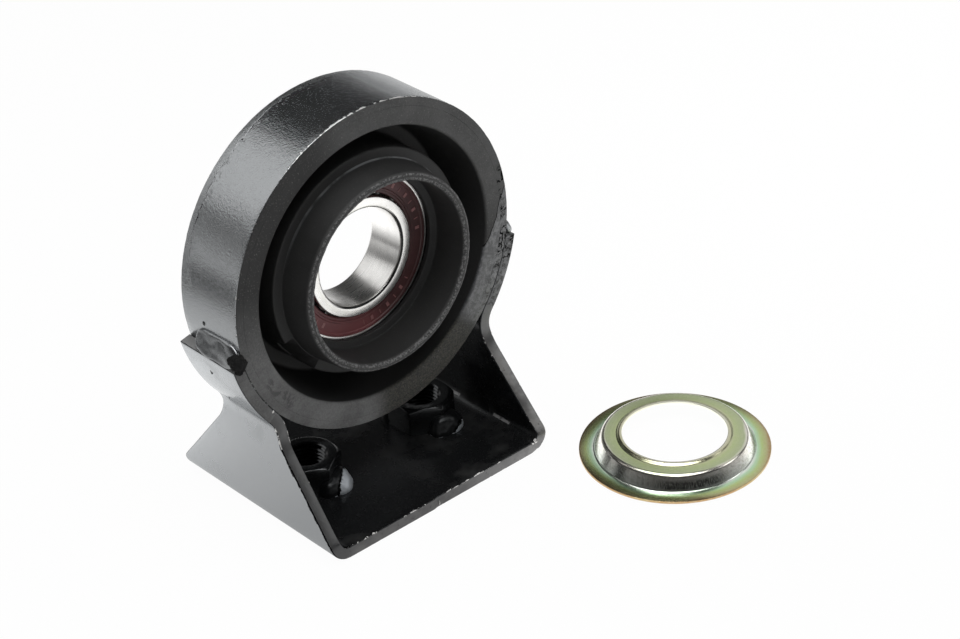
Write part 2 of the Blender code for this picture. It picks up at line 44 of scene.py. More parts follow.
mm = 0.001
axisHeight = 84 * mm                     # bearing axis above the floor
axisPoint = Vector((0, 0, axisHeight))
alongY = Vector((0, 1, 0))
alongZ = Vector((0, 0, 1))


# small helpers for meshes

def meshOf(form, name):
    mesh = bpy.data.meshes.new(name)
    form.to_mesh(mesh)
    form.free()
    return mesh


def linked(name, data):
    # a new object in the scene
    thing = bpy.data.objects.new(name, data)
    bpy.context.scene.collection.objects.link(thing)
    return thing


def addPiece(form, name, looks, replaced=None, body="mount", sharp=32):
    mesh = meshOf(form, name)
    for look in looks:
        mesh.materials.append(finish[look])
    mesh.shade_smooth()
    if sharp:
        mesh.set_sharp_from_angle(angle=math.radians(sharp))
    piece = linked(name, mesh)
    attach(piece, body)
    if replaced:
        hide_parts(replaced)
    return piece


def ringPlace(vert, centre=axisPoint, axis=alongY):
    # radius and distance along an axis
    offset = vert.co - centre
    along = offset.dot(axis)
    return (offset - axis * along).length, along


def bevelEdges(form, edges, amount, segments):
    bmesh.ops.bevel(form, geom=edges, offset=amount, offset_type="OFFSET", segments=segments,
                    profile=0.5, affect="EDGES", material=-1, clamp_overlap=True)


def lathe(profile, steps, centre=axisPoint, axis=alongY):
    # spins a closed profile of (radius, along) full circle; a corner may also give its rounding and segments
    form = bmesh.new()
    verts = [form.verts.new(centre + Vector((corner[0], 0, 0)) + axis * corner[1]) for corner in profile]
    edges = [form.edges.new(pair) for pair in zip(verts, verts[1:] + verts[:1])]
    bmesh.ops.spin(form, geom=verts + edges, cent=centre, axis=axis, dvec=(0, 0, 0),
                   angle=math.tau, steps=steps, use_merge=True, use_normal_flip=False, use_duplicate=False)
    bmesh.ops.remove_doubles(form, verts=form.verts, dist=1e-7)
    bmesh.ops.recalc_face_normals(form, faces=form.faces)
    for radius, along, amount, segments in (corner for corner in profile if len(corner) > 2):
        circle = []
        for edge in form.edges:
            spots = [ringPlace(vert, centre, axis) for vert in edge.verts]
            if all(abs(r - radius) < 2e-6 and abs(a - along) < 2e-6 for r, a in spots):
                circle.append(edge)
        bevelEdges(form, circle, amount, segments)
    return form


def acrossEdges(form):
    # the long edges that run from a strip's front side to its back side
    return [edge for edge in form.edges if abs(edge.verts[0].co.y - edge.verts[1].co.y) > 20 * mm]


def roundedPath(corners, steps):
    # a path of (a, b, radius) corners, each rounded by an arc
    points = []
    for i, (a, b, radius) in enumerate(corners):
        here = Vector((a, b))
        if radius <= 0:
            points.append(here)
            continue
        before = (Vector(corners[i - 1][:2]) - here).normalized()
        after = (Vector(corners[(i + 1) % len(corners)][:2]) - here).normalized()
        half = before.angle(after) / 2
        centre = here + (before + after).normalized() * (radius / math.sin(half))
        start = here + before * (radius / math.tan(half)) - centre
        sweep = start.angle_signed(here + after * (radius / math.tan(half)) - centre)
        for step in range(steps + 1):
            points.append(centre + Matrix.Rotation(-sweep * step / steps, 2) @ start)
    return points


def roughen(form, verts, size, amount, seed):
    # moves points along their normals by noise of a size, as hand wear or spatter does
    form.normal_update()
    shift = Vector((seed, 0.37 * seed, -0.61 * seed))
    for vert in verts:
        vert.co += vert.normal * amount * noise.noise(vert.co / size + shift)


# shader helpers

class Value:
    # a socket's value; the usual operators add Math nodes
    def __init__(self, maker, socket):
        self.maker, self.socket = maker, socket

    def math(self, operation, *others):
        return self.maker.add("ShaderNodeMath", {"operation": operation}, dict(enumerate((self, *others))))

    def mathAfter(self, operation, first):
        return self.maker.add("ShaderNodeMath", {"operation": operation}, {0: first, 1: self})

    def __add__(self, other):
        return self.math("ADD", other)

    __radd__ = __add__

    def __mul__(self, other):
        return self.math("MULTIPLY", other)

    __rmul__ = __mul__

    def __sub__(self, other):
        return self.math("SUBTRACT", other)

    def __rsub__(self, other):
        return self.mathAfter("SUBTRACT", other)

    def __truediv__(self, other):
        return self.math("DIVIDE", other)

    def __rtruediv__(self, other):
        return self.mathAfter("DIVIDE", other)

    def __pow__(self, other):
        return self.math("POWER", other)

    def __abs__(self):
        return self.math("ABSOLUTE")

    def least(self, other):
        return self.math("MINIMUM", other)

    def most(self, other):
        return self.math("MAXIMUM", other)

    def rise(self, low, high):
        # 0 below low, 1 above high, smooth between; falls where low is above high
        return self.maker.add("ShaderNodeMapRange", {"interpolation_type": "SMOOTHSTEP"},
                              {"Value": self, "From Min": low, "From Max": high})

    def hill(self, middle, reach, soft):
        # 1 near middle, 0 further away than reach plus soft
        return abs(self - middle).rise(reach + soft, reach)


def length(across, up):
    return (across * across + up * up) ** 0.5


class Maker:
    # one material and its nodes; x, y and z are in millimetres, noise scales are per metre
    def __init__(self, name, **fixed):
        self.material = bpy.data.materials.new(name)
        self.material.use_nodes = True
        self.tree = self.material.node_tree
        self.shader = self.tree.nodes["Principled BSDF"]
        self.set(**fixed)
        self.place = self.add("ShaderNodeTexCoord", output="Object")
        self.x, self.y, self.z = (part / mm for part in self.parts(self.place))

    def add(self, kind, settings=None, inputs=None, output=0):
        node = self.tree.nodes.new(kind)
        for key, value in (settings or {}).items():
            if key == "stops":
                ramp = node.color_ramp.elements
                while len(ramp) < len(value):
                    ramp.new(1.0)
                for element, (position, colour) in zip(ramp, value):
                    element.position, element.color = position, (*colour, 1.0)
            else:
                setattr(node, key, value)
        for key, value in (inputs or {}).items():
            self.feed(node.inputs[key], value)
        return Value(self, node.outputs[output])

    def feed(self, socket, value):
        if isinstance(value, Value):
            self.tree.links.new(value.socket, socket)
        elif socket.type == "RGBA":
            socket.default_value = (*value, 1.0)
        else:
            socket.default_value = value

    def set(self, **values):
        for key, value in values.items():
            self.feed(self.shader.inputs[key.replace("_", " ")], value)

    def parts(self, vector):
        # a vector's x, y and z
        first = self.add("ShaderNodeSeparateXYZ", {}, {0: vector})
        return [Value(self, socket) for socket in first.socket.node.outputs]

    def noise(self, scale, detail=2.0, roughness=0.5, place=None, distortion=0.0):
        return self.add("ShaderNodeTexNoise", {}, {"Vector": place or self.place, "Scale": scale,
                        "Detail": detail, "Roughness": roughness, "Distortion": distortion})

    def streaks(self, detail, roughness, *parts):
        # noise on a place of its own, drawn out along the parts with small factors
        place = self.add("ShaderNodeCombineXYZ", {}, dict(enumerate(parts)))
        return self.noise(1.0, detail, roughness, place)

    def polar(self, across, up):
        return length(across, up), up.math("ARCTAN2", across)

    def roundAxis(self):
        # radius and angle round the bearing's axis
        return self.polar(self.x, self.z - axisHeight / mm)

    def mix(self, factor, first, second):
        return self.add("ShaderNodeMix", {"data_type": "RGBA"}, {0: factor, 6: first, 7: second}, output=2)

    def blend(self, factor, first, second):
        return self.add("ShaderNodeMix", {"data_type": "FLOAT"}, {0: factor, 2: first, 3: second})

    def mixVector(self, factor, first, second):
        return self.add("ShaderNodeMix", {"data_type": "VECTOR"}, {0: factor, 4: first, 5: second}, output=1)

    def bump(self, height, distance):
        self.set(Normal=self.add("ShaderNodeBump", {}, {"Height": height, "Distance": distance}))


def grey(level):
    return level, level, level


# paint

paintLook = {
    "black": (0.006, 0.0063, 0.0067), "dust": (0.030, 0.030, 0.029), "metal": (0.80, 0.79, 0.77),
    "torn": grey(0.002), "tint": (0.95, 0.98, 1.0), "roughness": 0.22, "metalRoughness": 0.40,
    "peelScale": 1500.0, "peelDepth": 0.030 * mm,          # orange peel, about 0.7 mm
    "sagScale": 160.0, "gritScale": 4200.0, "dustScale": 70.0,
    "tornFrom": (0.705, 0.725), "bareFrom": (0.745, 0.76),  # levels of a flaking map
    "onlyTorn": 0.735, "footHighlight": 0.8,
}


def blackPaint(name, chips=None, dust=0.3, roughness=paintLook["roughness"], peel=1.0, extra=None, gloss=2.5,
               metal=paintLook["metal"]):
    # gloss is the paint's IOR, and above 2 it has a clear coat as well
    look = SimpleNamespace(**paintLook)
    coated = gloss > 2
    made = Maker(name, IOR=gloss, Specular_IOR_Level=1.0 if coated else 0.5, Specular_Tint=look.tint,
                 Coat_Weight=0.3 if coated else 0.0, Coat_Roughness=0.08)
    film = made.noise(look.dustScale, 4.0, 0.6).rise(0.52, 0.78) * dust
    colour = made.mix(film, look.black, look.dust)
    rough = roughness + film * 0.25 + (made.noise(420.0, 2.0) - 0.5) * 0.10
    grit = made.noise(look.gritScale, 2.0).rise(0.66, 0.80)
    height = made.noise(look.peelScale, 2.0) * peel + made.noise(look.sagScale, 3.0) * 2.2
    height = height + grit * (0.6 + peel * 0.9)
    if extra:
        colour, rough, height = extra(made, colour, rough, height)
    if chips:
        level = chips(made)
        bare, torn = level.rise(*look.bareFrom), level.rise(*look.tornFrom)
        colour = made.mix(bare, made.mix(torn, colour, look.torn), metal)
        rough = made.blend(bare, (rough + torn * 0.3).least(0.9), look.metalRoughness)
        # torn paint and rust at a chip's rim mirror nothing
        made.set(Metallic=(bare * 0.4).most(torn * (1.0 - bare)))
        height = height - bare * 1.5
    made.set(Base_Color=colour, Roughness=rough)
    made.bump(height, look.peelDepth)
    return made.material


def flaking(made, close, share, scale):
    # a ragged level, high where an edge has lost its paint
    runs = made.noise(150.0, 3.0, 0.6).rise(0.40, 0.60)
    level = made.noise(scale, 4.0, 0.65) + close * 0.14 + share * (0.06 + runs * 0.12) * close
    return level * close.rise(0.02, 0.15)


def bandPlaces(made):
    # radius, angle, the ring's outer skin, and the way past a ragged line near its back edge
    radius, angle = made.roundAxis()
    wander = (made.noise(120.0, 4.0, 0.7) - 0.5) * 4.5
    return radius, angle, radius.rise(57.6, 58.2), made.y - wander


def bandChips(made):
    # chips along the front edge, at the top and on the right, and the lifted line at the back
    radius, angle, outer, past = bandPlaces(made)
    close = made.y.rise(-13.0, -14.3) * radius.rise(57.4, 58.0)
    where = angle.hill(1.50, 0.36, 0.40).most(angle.hill(-0.15, 0.30, 0.25) * 0.8)
    lifted = past.hill(11.4, 0.07, 0.14) * angle.hill(2.2, 0.75, 0.25) * outer
    broken = made.noise(330.0, 3.0, 0.6).rise(0.44, 0.52)
    return flaking(made, close, where, 600.0).most(lifted * broken * paintLook["onlyTorn"])


def bandRidge(made, colour, rough, height):
    # the paint is rough along the lifted line and behind it
    radius, angle, outer, past = bandPlaces(made)
    zone = angle.hill(2.2, 0.65, 0.25) * outer
    torn = made.noise(1100.0, 4.0, 0.7).rise(0.42, 0.60)
    patch = past.hill(10.4, 0.5, 1.6) * zone * made.noise(300.0, 3.0).rise(0.50, 0.62)
    behind = past.rise(11.5, 12.0) * zone
    height = height + patch * torn * 2.0 + behind * made.noise(1900.0, 3.0, 0.65) * 4.0
    # coarser grain on the left and at the upper right
    coarse = angle.hill(2.65, 0.50, 0.35).most(angle.hill(1.15, 0.2, 0.2) * 0.5) * outer
    height = height + coarse * made.noise(1000.0, 3.0, 0.7) * 1.2
    return colour, rough + behind * 0.06, height


def edgeChips(made):
    # edgeDistance runs in from the strip's own side edges
    away = made.add("ShaderNodeAttribute", {"attribute_name": "edgeDistance"}, output="Fac") / mm
    close = away.rise(1.3, 0.15)
    front = made.y.rise(-8.0, -16.0)
    onLeft = made.x.rise(-30.0, -42.0)
    gate = made.noise(70.0, 3.0, 0.6).rise(0.50, 0.60)
    gouge = made.z.hill(40.0, 3.0, 3.0) * onLeft
    level = flaking(made, close, (gate * made.z.rise(9.0, 6.0) + gouge) * front, 430.0)
    # down the left side the paint is torn in a dark, wandering line
    width = 0.45 + made.noise(300.0, 3.0, 0.65).rise(0.35, 0.75) * 1.1
    torn = (width - away).rise(0.0, 0.1) * onLeft * front
    return (level - made.z.rise(45.0, 48.0) * 0.3).most(torn * paintLook["onlyTorn"])


def foldShine(made, colour, rough, height):
    # painted highlight: thin light lines low in the right fold, standing in for the lamp's reflection in the
    # fold
    along = made.y.hill(7.5, 7.6, 0.6).most(made.y.hill(-22.5, 4.0, 0.5) * 0.5)
    line = made.x.hill(43.6, 0.22, 0.2) * made.z.rise(8.0, 7.0) * along
    lighter = line * made.noise(300.0, 3.0, 0.6).rise(0.25, 0.42)
    return made.mix(lighter * 0.85, colour, grey(0.50)), rough, height


def cutPaint():
    # the sheared edge of the sheet: dull, pitted paint, paler along the base and low on the right
    made = Maker("cutEdgePaint", IOR=1.8, Specular_IOR_Level=0.6)
    grain = made.noise(900.0, 3.0, 0.6)
    pits = grain.rise(0.60, 0.72)
    cloud = made.noise(150.0, 3.0, 0.6)
    pale = made.x.rise(-44.0, -38.0) * made.z.rise(50.0, 20.0)
    strong = made.x.rise(30.0, 44.0) * 0.6 + 0.4
    lighter = made.mix(cloud.rise(0.35, 0.65) * strong, (0.030, 0.029, 0.029), (0.17, 0.165, 0.16))
    darker = made.mix(cloud.rise(0.35, 0.7), (0.006, 0.0065, 0.007), (0.020, 0.021, 0.022))
    colour = made.mix(pits, made.mix(pale, darker, lighter), grey(0.006))
    made.set(Base_Color=colour, Roughness=0.30 + cloud * 0.16 + pits * 0.2)
    made.bump(grain * 2.0 + cloud * 4.0 - pits * 2.0, 0.02 * mm)
    return made.material


def weldSkin(made, colour, rough, height):
    # paint over a fused bead: slow waves, duller where they stand up
    waves = made.noise(330.0, 2.0, 0.5)
    return colour, rough + waves.rise(0.55, 0.7) * 0.12, height + waves * 2.0


nutWeldLook = {
    # middle and lean of the flaked patch on the left front mound, then on the right one
    "middles": ((-22.9 * mm, -10.2 * mm, 4.4 * mm), (27.6 * mm, -10.4 * mm, 5.0 * mm)),
    "leans": ((0.664, -0.674, -0.132), (0.436, -0.751, -0.467)),
    "metal": (0.46, 0.49, 0.52),
}


def nutWeldFlakesAndHighlight(made):
    # the paint has flaked off the right of the front mounds, widely on the left one
    side = made.x.rise(-1.0, 1.0)
    middle, lean = (made.mixVector(side, *nutWeldLook[key]) for key in ("middles", "leans"))
    offset = made.add("ShaderNodeVectorMath", {"operation": "SUBTRACT"}, {0: made.place, 1: middle})
    reach = made.add("ShaderNodeVectorMath", {"operation": "DOT_PRODUCT"},
                     {0: offset, 1: lean}, output="Value")
    ragged = reach / mm + (made.noise(520.0, 4.0, 0.65) - 0.5) * 3.6
    front = made.y.rise(0.0, -4.0)
    # and a painted highlight: a thin light line round the mound's foot, in the bare metal's colour
    foot = made.z.hill(4.2, 0.25, 0.1) * front * made.noise(200.0, 2.0).rise(0.46, 0.52)
    return (0.70 + (ragged - (1.3 + side * 2.0)) * 0.05 * front).most(foot * paintLook["footHighlight"])


def nutWeldSkin(made, colour, rough, height):
    return colour, rough, height + made.noise(700.0, 3.0, 0.6) * 4.0


def soot():
    made = Maker("burntSoot", IOR=1.4, Specular_IOR_Level=0.4)
    grains = made.noise(1500.0, 4.0, 0.7)
    made.set(Base_Color=made.mix(grains.rise(0.5, 0.8), grey(0.003), grey(0.02)),
             Roughness=0.6 + grains * 0.2)
    made.bump(grains, 0.25 * mm)
    return made.material


# rubber

rubberLook = {
    "black": grey(0.014), "pale": (0.165, 0.166, 0.166), "olive": (0.078, 0.073, 0.056),
    "mist": (0.105, 0.108, 0.114), "border": grey(0.004), "crack": grey(0.003), "smear": grey(0.012),
    "rim": grey(0.032), "crest": grey(0.20), "ends": grey(0.22), "speck": (0.30, 0.30, 0.28),
    "scuff": (0.30, 0.31, 0.32), "depth": 0.022 * mm,
}


def rubberFinish():
    look = SimpleNamespace(**rubberLook)
    made = Maker("mouldedRubber", IOR=1.52, Specular_IOR_Level=0.5, Coat_Roughness=0.22)
    radius, angle = made.roundAxis()
    face = made.y.rise(-13.2, -14.2) * radius.rise(47.6, 48.6)
    cloud = made.noise(70.0, 4.0, 0.62)
    # the front face is paler low on the left and, less, at the upper right
    low = angle.hill(-2.3, 0.55, 0.55).most(angle.hill(math.tau - 2.3, 0.55, 0.55))
    skin = made.mix(low + angle.hill(0.9, 0.75, 0.4) * 0.45, look.black, look.pale)
    sand = made.noise(1500.0, 3.0, 0.7).rise(0.34, 0.66)
    colour = made.mix((0.45 + cloud.rise(0.38, 0.66) * 0.35 + sand * 0.25) * face, look.black, skin)
    # olive, speckled stretch at the lower right
    brown = angle.hill(-1.22, 0.30, 0.20) * face
    spots = made.noise(1500.0, 4.0, 0.75).rise(0.38, 0.72)
    colour = made.mix(brown, colour, made.mix(spots, look.black, look.olive))
    # paint mist on the right, paler and wrinkled, with a wavy border
    edge = radius - (angle + 0.27) * 24.0 + (made.noise(130.0, 2.0) - 0.5) * 4.0
    mist = edge.rise(48.3, 48.8) * angle.hill(-0.30, 0.42, 0.12) * face
    border = edge.hill(48.2, 0.10, 0.20) * angle.hill(-0.18, 0.30, 0.1) * face
    wrinkle = made.noise(650.0, 4.0, 0.65, distortion=0.8)
    streaks = wrinkle.rise(0.35, 0.60) * 0.45
    holes = (wrinkle.rise(0.53, 0.58) * radius.rise(54.5, 56.5)).most(streaks)
    colour = made.mix(mist, colour, made.mix(holes, look.mist, look.black))
    colour = made.mix(border, colour, look.border)
    # dark cracks in the mist near the ring
    cracked = made.noise(170.0, 5.0, 0.7, distortion=0.8).hill(0.5, 0.030, 0.015) * radius.rise(54.8, 55.8)
    cracked = cracked * angle.hill(-0.08, 0.30, 0.08) * face * made.noise(400.0, 2.0).rise(0.40, 0.50)
    colour = made.mix(cracked, colour, look.crack)
    # dark smears at the lower left
    smear = angle.hill(-2.56, 0.12, 0.06) * face * radius.hill(53.0, 1.6, 1.2)
    smear = smear * made.noise(260.0, 4.0, 0.7, distortion=1.0).rise(0.50, 0.56)
    colour = made.mix(smear * 0.7, colour, look.smear)
    # the collar's rim; along its two crests a painted highlight, broken up with scuffs
    rim = made.y.rise(-20.4, -21.4)
    colour = made.mix(rim, colour, look.rim)
    crest = radius.hill(32.9, 0.30, 0.45).most(radius.hill(34.4, 0.15, 0.35)) * rim
    crest = crest * made.noise(1100.0, 4.0, 0.75).rise(0.44, 0.60)
    colour = made.mix(crest * 0.9, colour, look.crest)
    # the bracket strip's ends catch the light
    ends = abs(made.x).rise(57.0, 57.6) * made.z.rise(68.5, 69.5) * made.y.rise(-14.2, -13.6)
    colour = made.mix(ends, colour, look.ends)
    specks = made.noise(2600.0, 2.0).rise(0.62, 0.76)
    colour = made.mix(specks * (0.10 + crest * 0.35 + face * 0.35), colour, look.speck)
    # painted highlight: a light line over the collar's root
    root = radius.hill(36.35, 0.12, 0.25) * made.y.hill(-10.0, 0.5, 0.4) * angle.rise(2.9, 1.9)
    root = root * made.noise(160.0, 3.0).rise(0.30, 0.62) * angle.rise(-0.6, 0.8)
    colour = made.mix(root * 0.45, colour, look.scuff)
    rough = 0.60 + cloud * 0.12 - mist * (0.30 - streaks * 0.4) - smear * 0.2 + cracked * 0.3
    made.set(Base_Color=colour, Roughness=rough, Metallic=cracked.most(border * 0.8),
             Coat_Weight=(mist * (0.6 - streaks) * (1.0 - cracked)).most(0.0))
    height = made.noise(5200.0, 2.0) * 0.7 + cloud * 1.2 + brown * spots * 3.0 + mist * (2.0 + wrinkle * 5.0)
    made.bump(height - cracked * 6.0 - border * 4.0 - smear * 1.5, look.depth)
    return made.material


sealLook = {
    "low": (0.095, 0.034, 0.035), "high": (0.140, 0.050, 0.052), "speck": (0.45, 0.30, 0.29),
    "left": (0.27, 0.080, 0.085), "right": (0.045, 0.020, 0.019), "bars": (0.42, 0.20, 0.20),
    "depth": 0.012 * mm,
}


def sealFinish():
    look = SimpleNamespace(**sealLook)
    made = Maker("sealRubber", IOR=1.5)
    radius, angle = made.roundAxis()
    cloud = made.noise(420.0, 4.0, 0.6)
    specks = made.noise(3000.0, 2.0).rise(0.68, 0.76)
    colour = made.mix(cloud.rise(0.3, 0.75), look.low, look.high)
    colour = made.mix(specks * 0.35, colour, look.speck)
    # painted light and shade: redder and lighter low on the left, painted shade low on the right
    colour = made.mix(angle.hill(-2.2, 0.6, 0.5) * 0.6, colour, look.left)
    colour = made.mix(angle.hill(-0.35, 0.55, 0.7) * 0.6, colour, look.right)
    # the raised bars are paler on their tops, in front and at the back
    bars = made.y.rise(-4.75, -4.80).most(made.y.rise(8.05, 8.10)) * radius.hill(25.95, 1.0, 0.1)
    colour = made.mix(bars * 0.75, colour, look.bars)
    made.set(Base_Color=colour, Roughness=0.38 + cloud * 0.12)
    made.bump(made.noise(4200.0, 2.0) * 0.6 + cloud * 0.6, look.depth)
    return made.material


# bare metal

def groundSteel(name, tone, roughness, fineness):
    # fineness is how close the ground rings lie
    made = Maker(name, Anisotropic=0.35)
    radius, angle = made.roundAxis()
    rings = made.streaks(3.0, 0.6, radius * fineness, made.y * fineness, angle * 1.5)
    specks = made.noise(1000.0, 3.0, 0.6).rise(0.715, 0.74)
    cloud = made.noise(190.0, 4.0, 0.6)
    colour = made.mix(cloud.rise(0.3, 0.8), tone, tuple(0.86 * part for part in tone))
    colour = made.mix(specks * 0.85, colour, (0.06, 0.055, 0.05))
    # the bore's front chamfer mirrors the dark collar
    chamfer = radius.hill(18.05, 0.30, 0.12) * made.y.rise(-5.4, -5.7)
    chamfer = chamfer * (made.x - made.z + axisHeight / mm).rise(-6.0, 8.0)
    colour = made.mix(chamfer, colour, grey(0.03))
    # painted shade on the outer race's rim low on the right
    darker = radius.rise(28.5, 29.0) * angle.hill(-0.55, 0.55, 0.45)
    colour = made.mix(darker * 0.85, colour, grey(0.05))
    made.set(Base_Color=colour, Metallic=1.0 - specks * 0.8,
             Roughness=roughness + rings * 0.10 + cloud * 0.06 + specks * 0.3)
    made.bump(rings - specks * 1.5, 0.0012 * mm)
    return made.material


def pressedSteel():
    made = Maker("pressedSteel", Metallic=1.0)
    cloud = made.noise(600.0, 4.0, 0.6)
    made.set(Base_Color=made.mix(cloud, (0.50, 0.49, 0.47), (0.38, 0.37, 0.35)),
             Roughness=0.30 + cloud * 0.15)
    made.bump(cloud, 0.004 * mm)
    return made.material


zincLook = {
    "edge": 33.5,                          # the shield's radius in mm, at which the hues end
    "hues": (
        # share of the radius and colour
        (0.54, (0.80, 0.80, 0.72)),
        (0.585, (0.62, 0.60, 0.42)),
        (0.64, (0.50, 0.58, 0.30)),
        (0.73, (0.46, 0.52, 0.32)),
        (0.765, (0.90, 0.86, 0.80)),
        (0.845, (0.86, 0.92, 0.86)),
        (0.880, (0.52, 0.76, 0.52)),
        (0.925, (0.50, 0.62, 0.26)),
        (0.975, (0.50, 0.48, 0.24)),
        (1.0, (0.42, 0.28, 0.14)),
    ),
    "blotch": (0.62, 0.62, 0.46), "dark": (0.045, 0.05, 0.04), "depth": 0.005 * mm,
}


def zincFinish(centre):
    # yellow-green passivated zinc whose hue drifts with the film's thickness
    look = SimpleNamespace(**zincLook)
    made = Maker("passivatedZinc", Metallic=1.0)
    radius, angle = made.polar(made.x - centre.x / mm, made.y - centre.y / mm)
    drift = made.noise(38.0, 3.0, 0.5)
    fine = made.streaks(3.0, 0.6, radius * 2.6, angle * 2.2, made.z * 2.6)
    film = radius / look.edge + (drift - 0.5) * 0.12 + (fine - 0.5) * 0.02
    hue = made.add("ShaderNodeValToRGB", {"stops": look.hues}, {0: film})
    blotch = made.noise(900.0, 4.0, 0.7)
    colour = made.mix(blotch.rise(0.35, 0.75) * 0.30, hue, look.blotch)
    # the cone is blotched, and its near side is dark and streaked low down
    wall = made.z.rise(1.2, 2.0) * made.z.rise(5.9, 5.0)
    near = angle.hill(-2.15, 0.28, 0.30) * made.z.rise(5.0, 3.4)
    streaks = made.streaks(4.0, 0.75, angle * 70.0, made.z * 0.7)
    dark = (blotch.rise(0.47, 0.60) * 0.15).most(near * streaks.rise(0.30, 0.62) * 0.95)
    colour = made.mix(wall * dark, colour, look.dark)
    made.set(Base_Color=colour, Roughness=0.16 + fine * 0.08 + blotch * 0.05)
    made.bump(fine * 0.9 + drift * 0.8 + blotch * wall * 1.6, look.depth)
    return made.material


finish = {
    "band": blackPaint("bandPaint", bandChips, dust=0.25, peel=3.2, extra=bandRidge),
    "sheet": blackPaint("sheetPaint", edgeChips, dust=0.9, peel=1.5, gloss=2.7),
    "inside": blackPaint("insidePaint", edgeChips, 0.7, roughness=0.26, peel=0.5,
                         extra=foldShine, gloss=1.45),
    "cut": cutPaint(),
    "edge": blackPaint("chippedEdgePaint", edgeChips, dust=0.4, gloss=1.7),
    "nut": blackPaint("nutPaint", dust=0.1, roughness=0.16, peel=0.5, gloss=1.6),
    "tipWeld": blackPaint("weldPaint", dust=0.1, roughness=0.24, peel=0.3, gloss=2.1, extra=weldSkin),
    "soot": soot(),
    "nutWeld": blackPaint("nutWeldPaint", nutWeldFlakesAndHighlight, dust=0.1, roughness=0.34, extra=nutWeldSkin,
                          gloss=1.42, metal=nutWeldLook["metal"]),
    "spatter": blackPaint("spatterPaint", dust=0.0, roughness=0.2, peel=0.3, gloss=1.5),
    "bare": Maker("bareMetal", Base_Color=paintLook["metal"], Metallic=0.5, Roughness=0.35).material,
    "rubber": rubberFinish(),
    "seal": sealFinish(),
    "race": groundSteel("groundSteel", (0.80, 0.79, 0.77), 0.20, 3.0),
    "ball": groundSteel("ballSteel", (0.80, 0.79, 0.78), 0.06, 0.4),
    "cage": pressedSteel(),
}
print("finishes made")


# housing ring

band = {
    "outer": 58.5 * mm, "inner": 55.5 * mm, "half": 14.5 * mm, "edge": 0.35 * mm, "steps": 288,
    "skin": 57 * mm,                       # what lies further out gets the waves
    "waves": (14 * mm, 0.04 * mm, 3.1), "wear": (1.6 * mm, 0.07 * mm, 7.7),
}


def makeBand():
    size = SimpleNamespace(**band)
    form = lathe([(size.inner, size.half), (size.outer, size.half, size.edge, 4),
                  (size.outer, -size.half, size.edge, 4), (size.inner, -size.half)], size.steps)
    cross = [edge for edge in acrossEdges(form) if ringPlace(edge.verts[0])[0] > size.skin]
    bmesh.ops.subdivide_edges(form, edges=cross, cuts=11, use_grid_fill=True)
    outer = [vert for vert in form.verts if ringPlace(vert)[0] > size.skin]
    roughen(form, outer, *size.waves)
    roughen(form, [vert for vert in outer if abs(abs(vert.co.y) - 14.3 * mm) < 0.6 * mm], *size.wear)
    # no further out than the ring itself
    for vert in outer:
        away, along = ringPlace(vert)
        if away > size.outer:
            vert.co -= (vert.co - axisPoint - alongY * along) * (1 - size.outer / away)
        vert.co.y = max(-size.half, min(size.half, vert.co.y))
    # the front face has the same dull skin as the rubber beside it
    for face in form.faces:
        if face.calc_center_median().y < -size.half + 0.1 * mm:
            face.material_index = 1
    addPiece(form, "housingBand", ["band", "rubber"], "housing_ring")


makeBand()
print("housing ring made")


# rubber mount

mount = {
    "steps": 288,
    "outer": 55.45 * mm, "half": 14.5 * mm,
    "faceInner": 48.9 * mm, "channelFloorRadius": 45.2 * mm, "channelFloor": 6.0 * mm,
    "bufferRadius": 40.0 * mm, "bufferFace": -10.0 * mm,
    "rootRadius": 36.3 * mm, "rimRadius": 35.0 * mm, "mouthRadius": 32.1 * mm, "rimFront": -22.0 * mm,
    "seat": 31.3 * mm, "seatFront": -5.65 * mm, "seatRear": 8.95 * mm,
    "lip": 29.6 * mm, "frontLip": 2.3 * mm, "rearLip": 2.6 * mm,
    "rearHub": 38.0 * mm, "rearFace": 50.0 * mm, "webRear": 10.5 * mm, "rearSlope": 2.25 * mm,
    "notches": (-144.0, -36.0), "notchHalf": 12.5, "notchRamp": 6.0, "notchDepth": 8.0 * mm,
    "collarFrom": -11 * mm, "collarWave": 19 * mm, "collarSway": 0.35 * mm,
    "rimFrom": -20.8 * mm, "rimWear": (1.4 * mm, 0.10 * mm, 2.0),
}


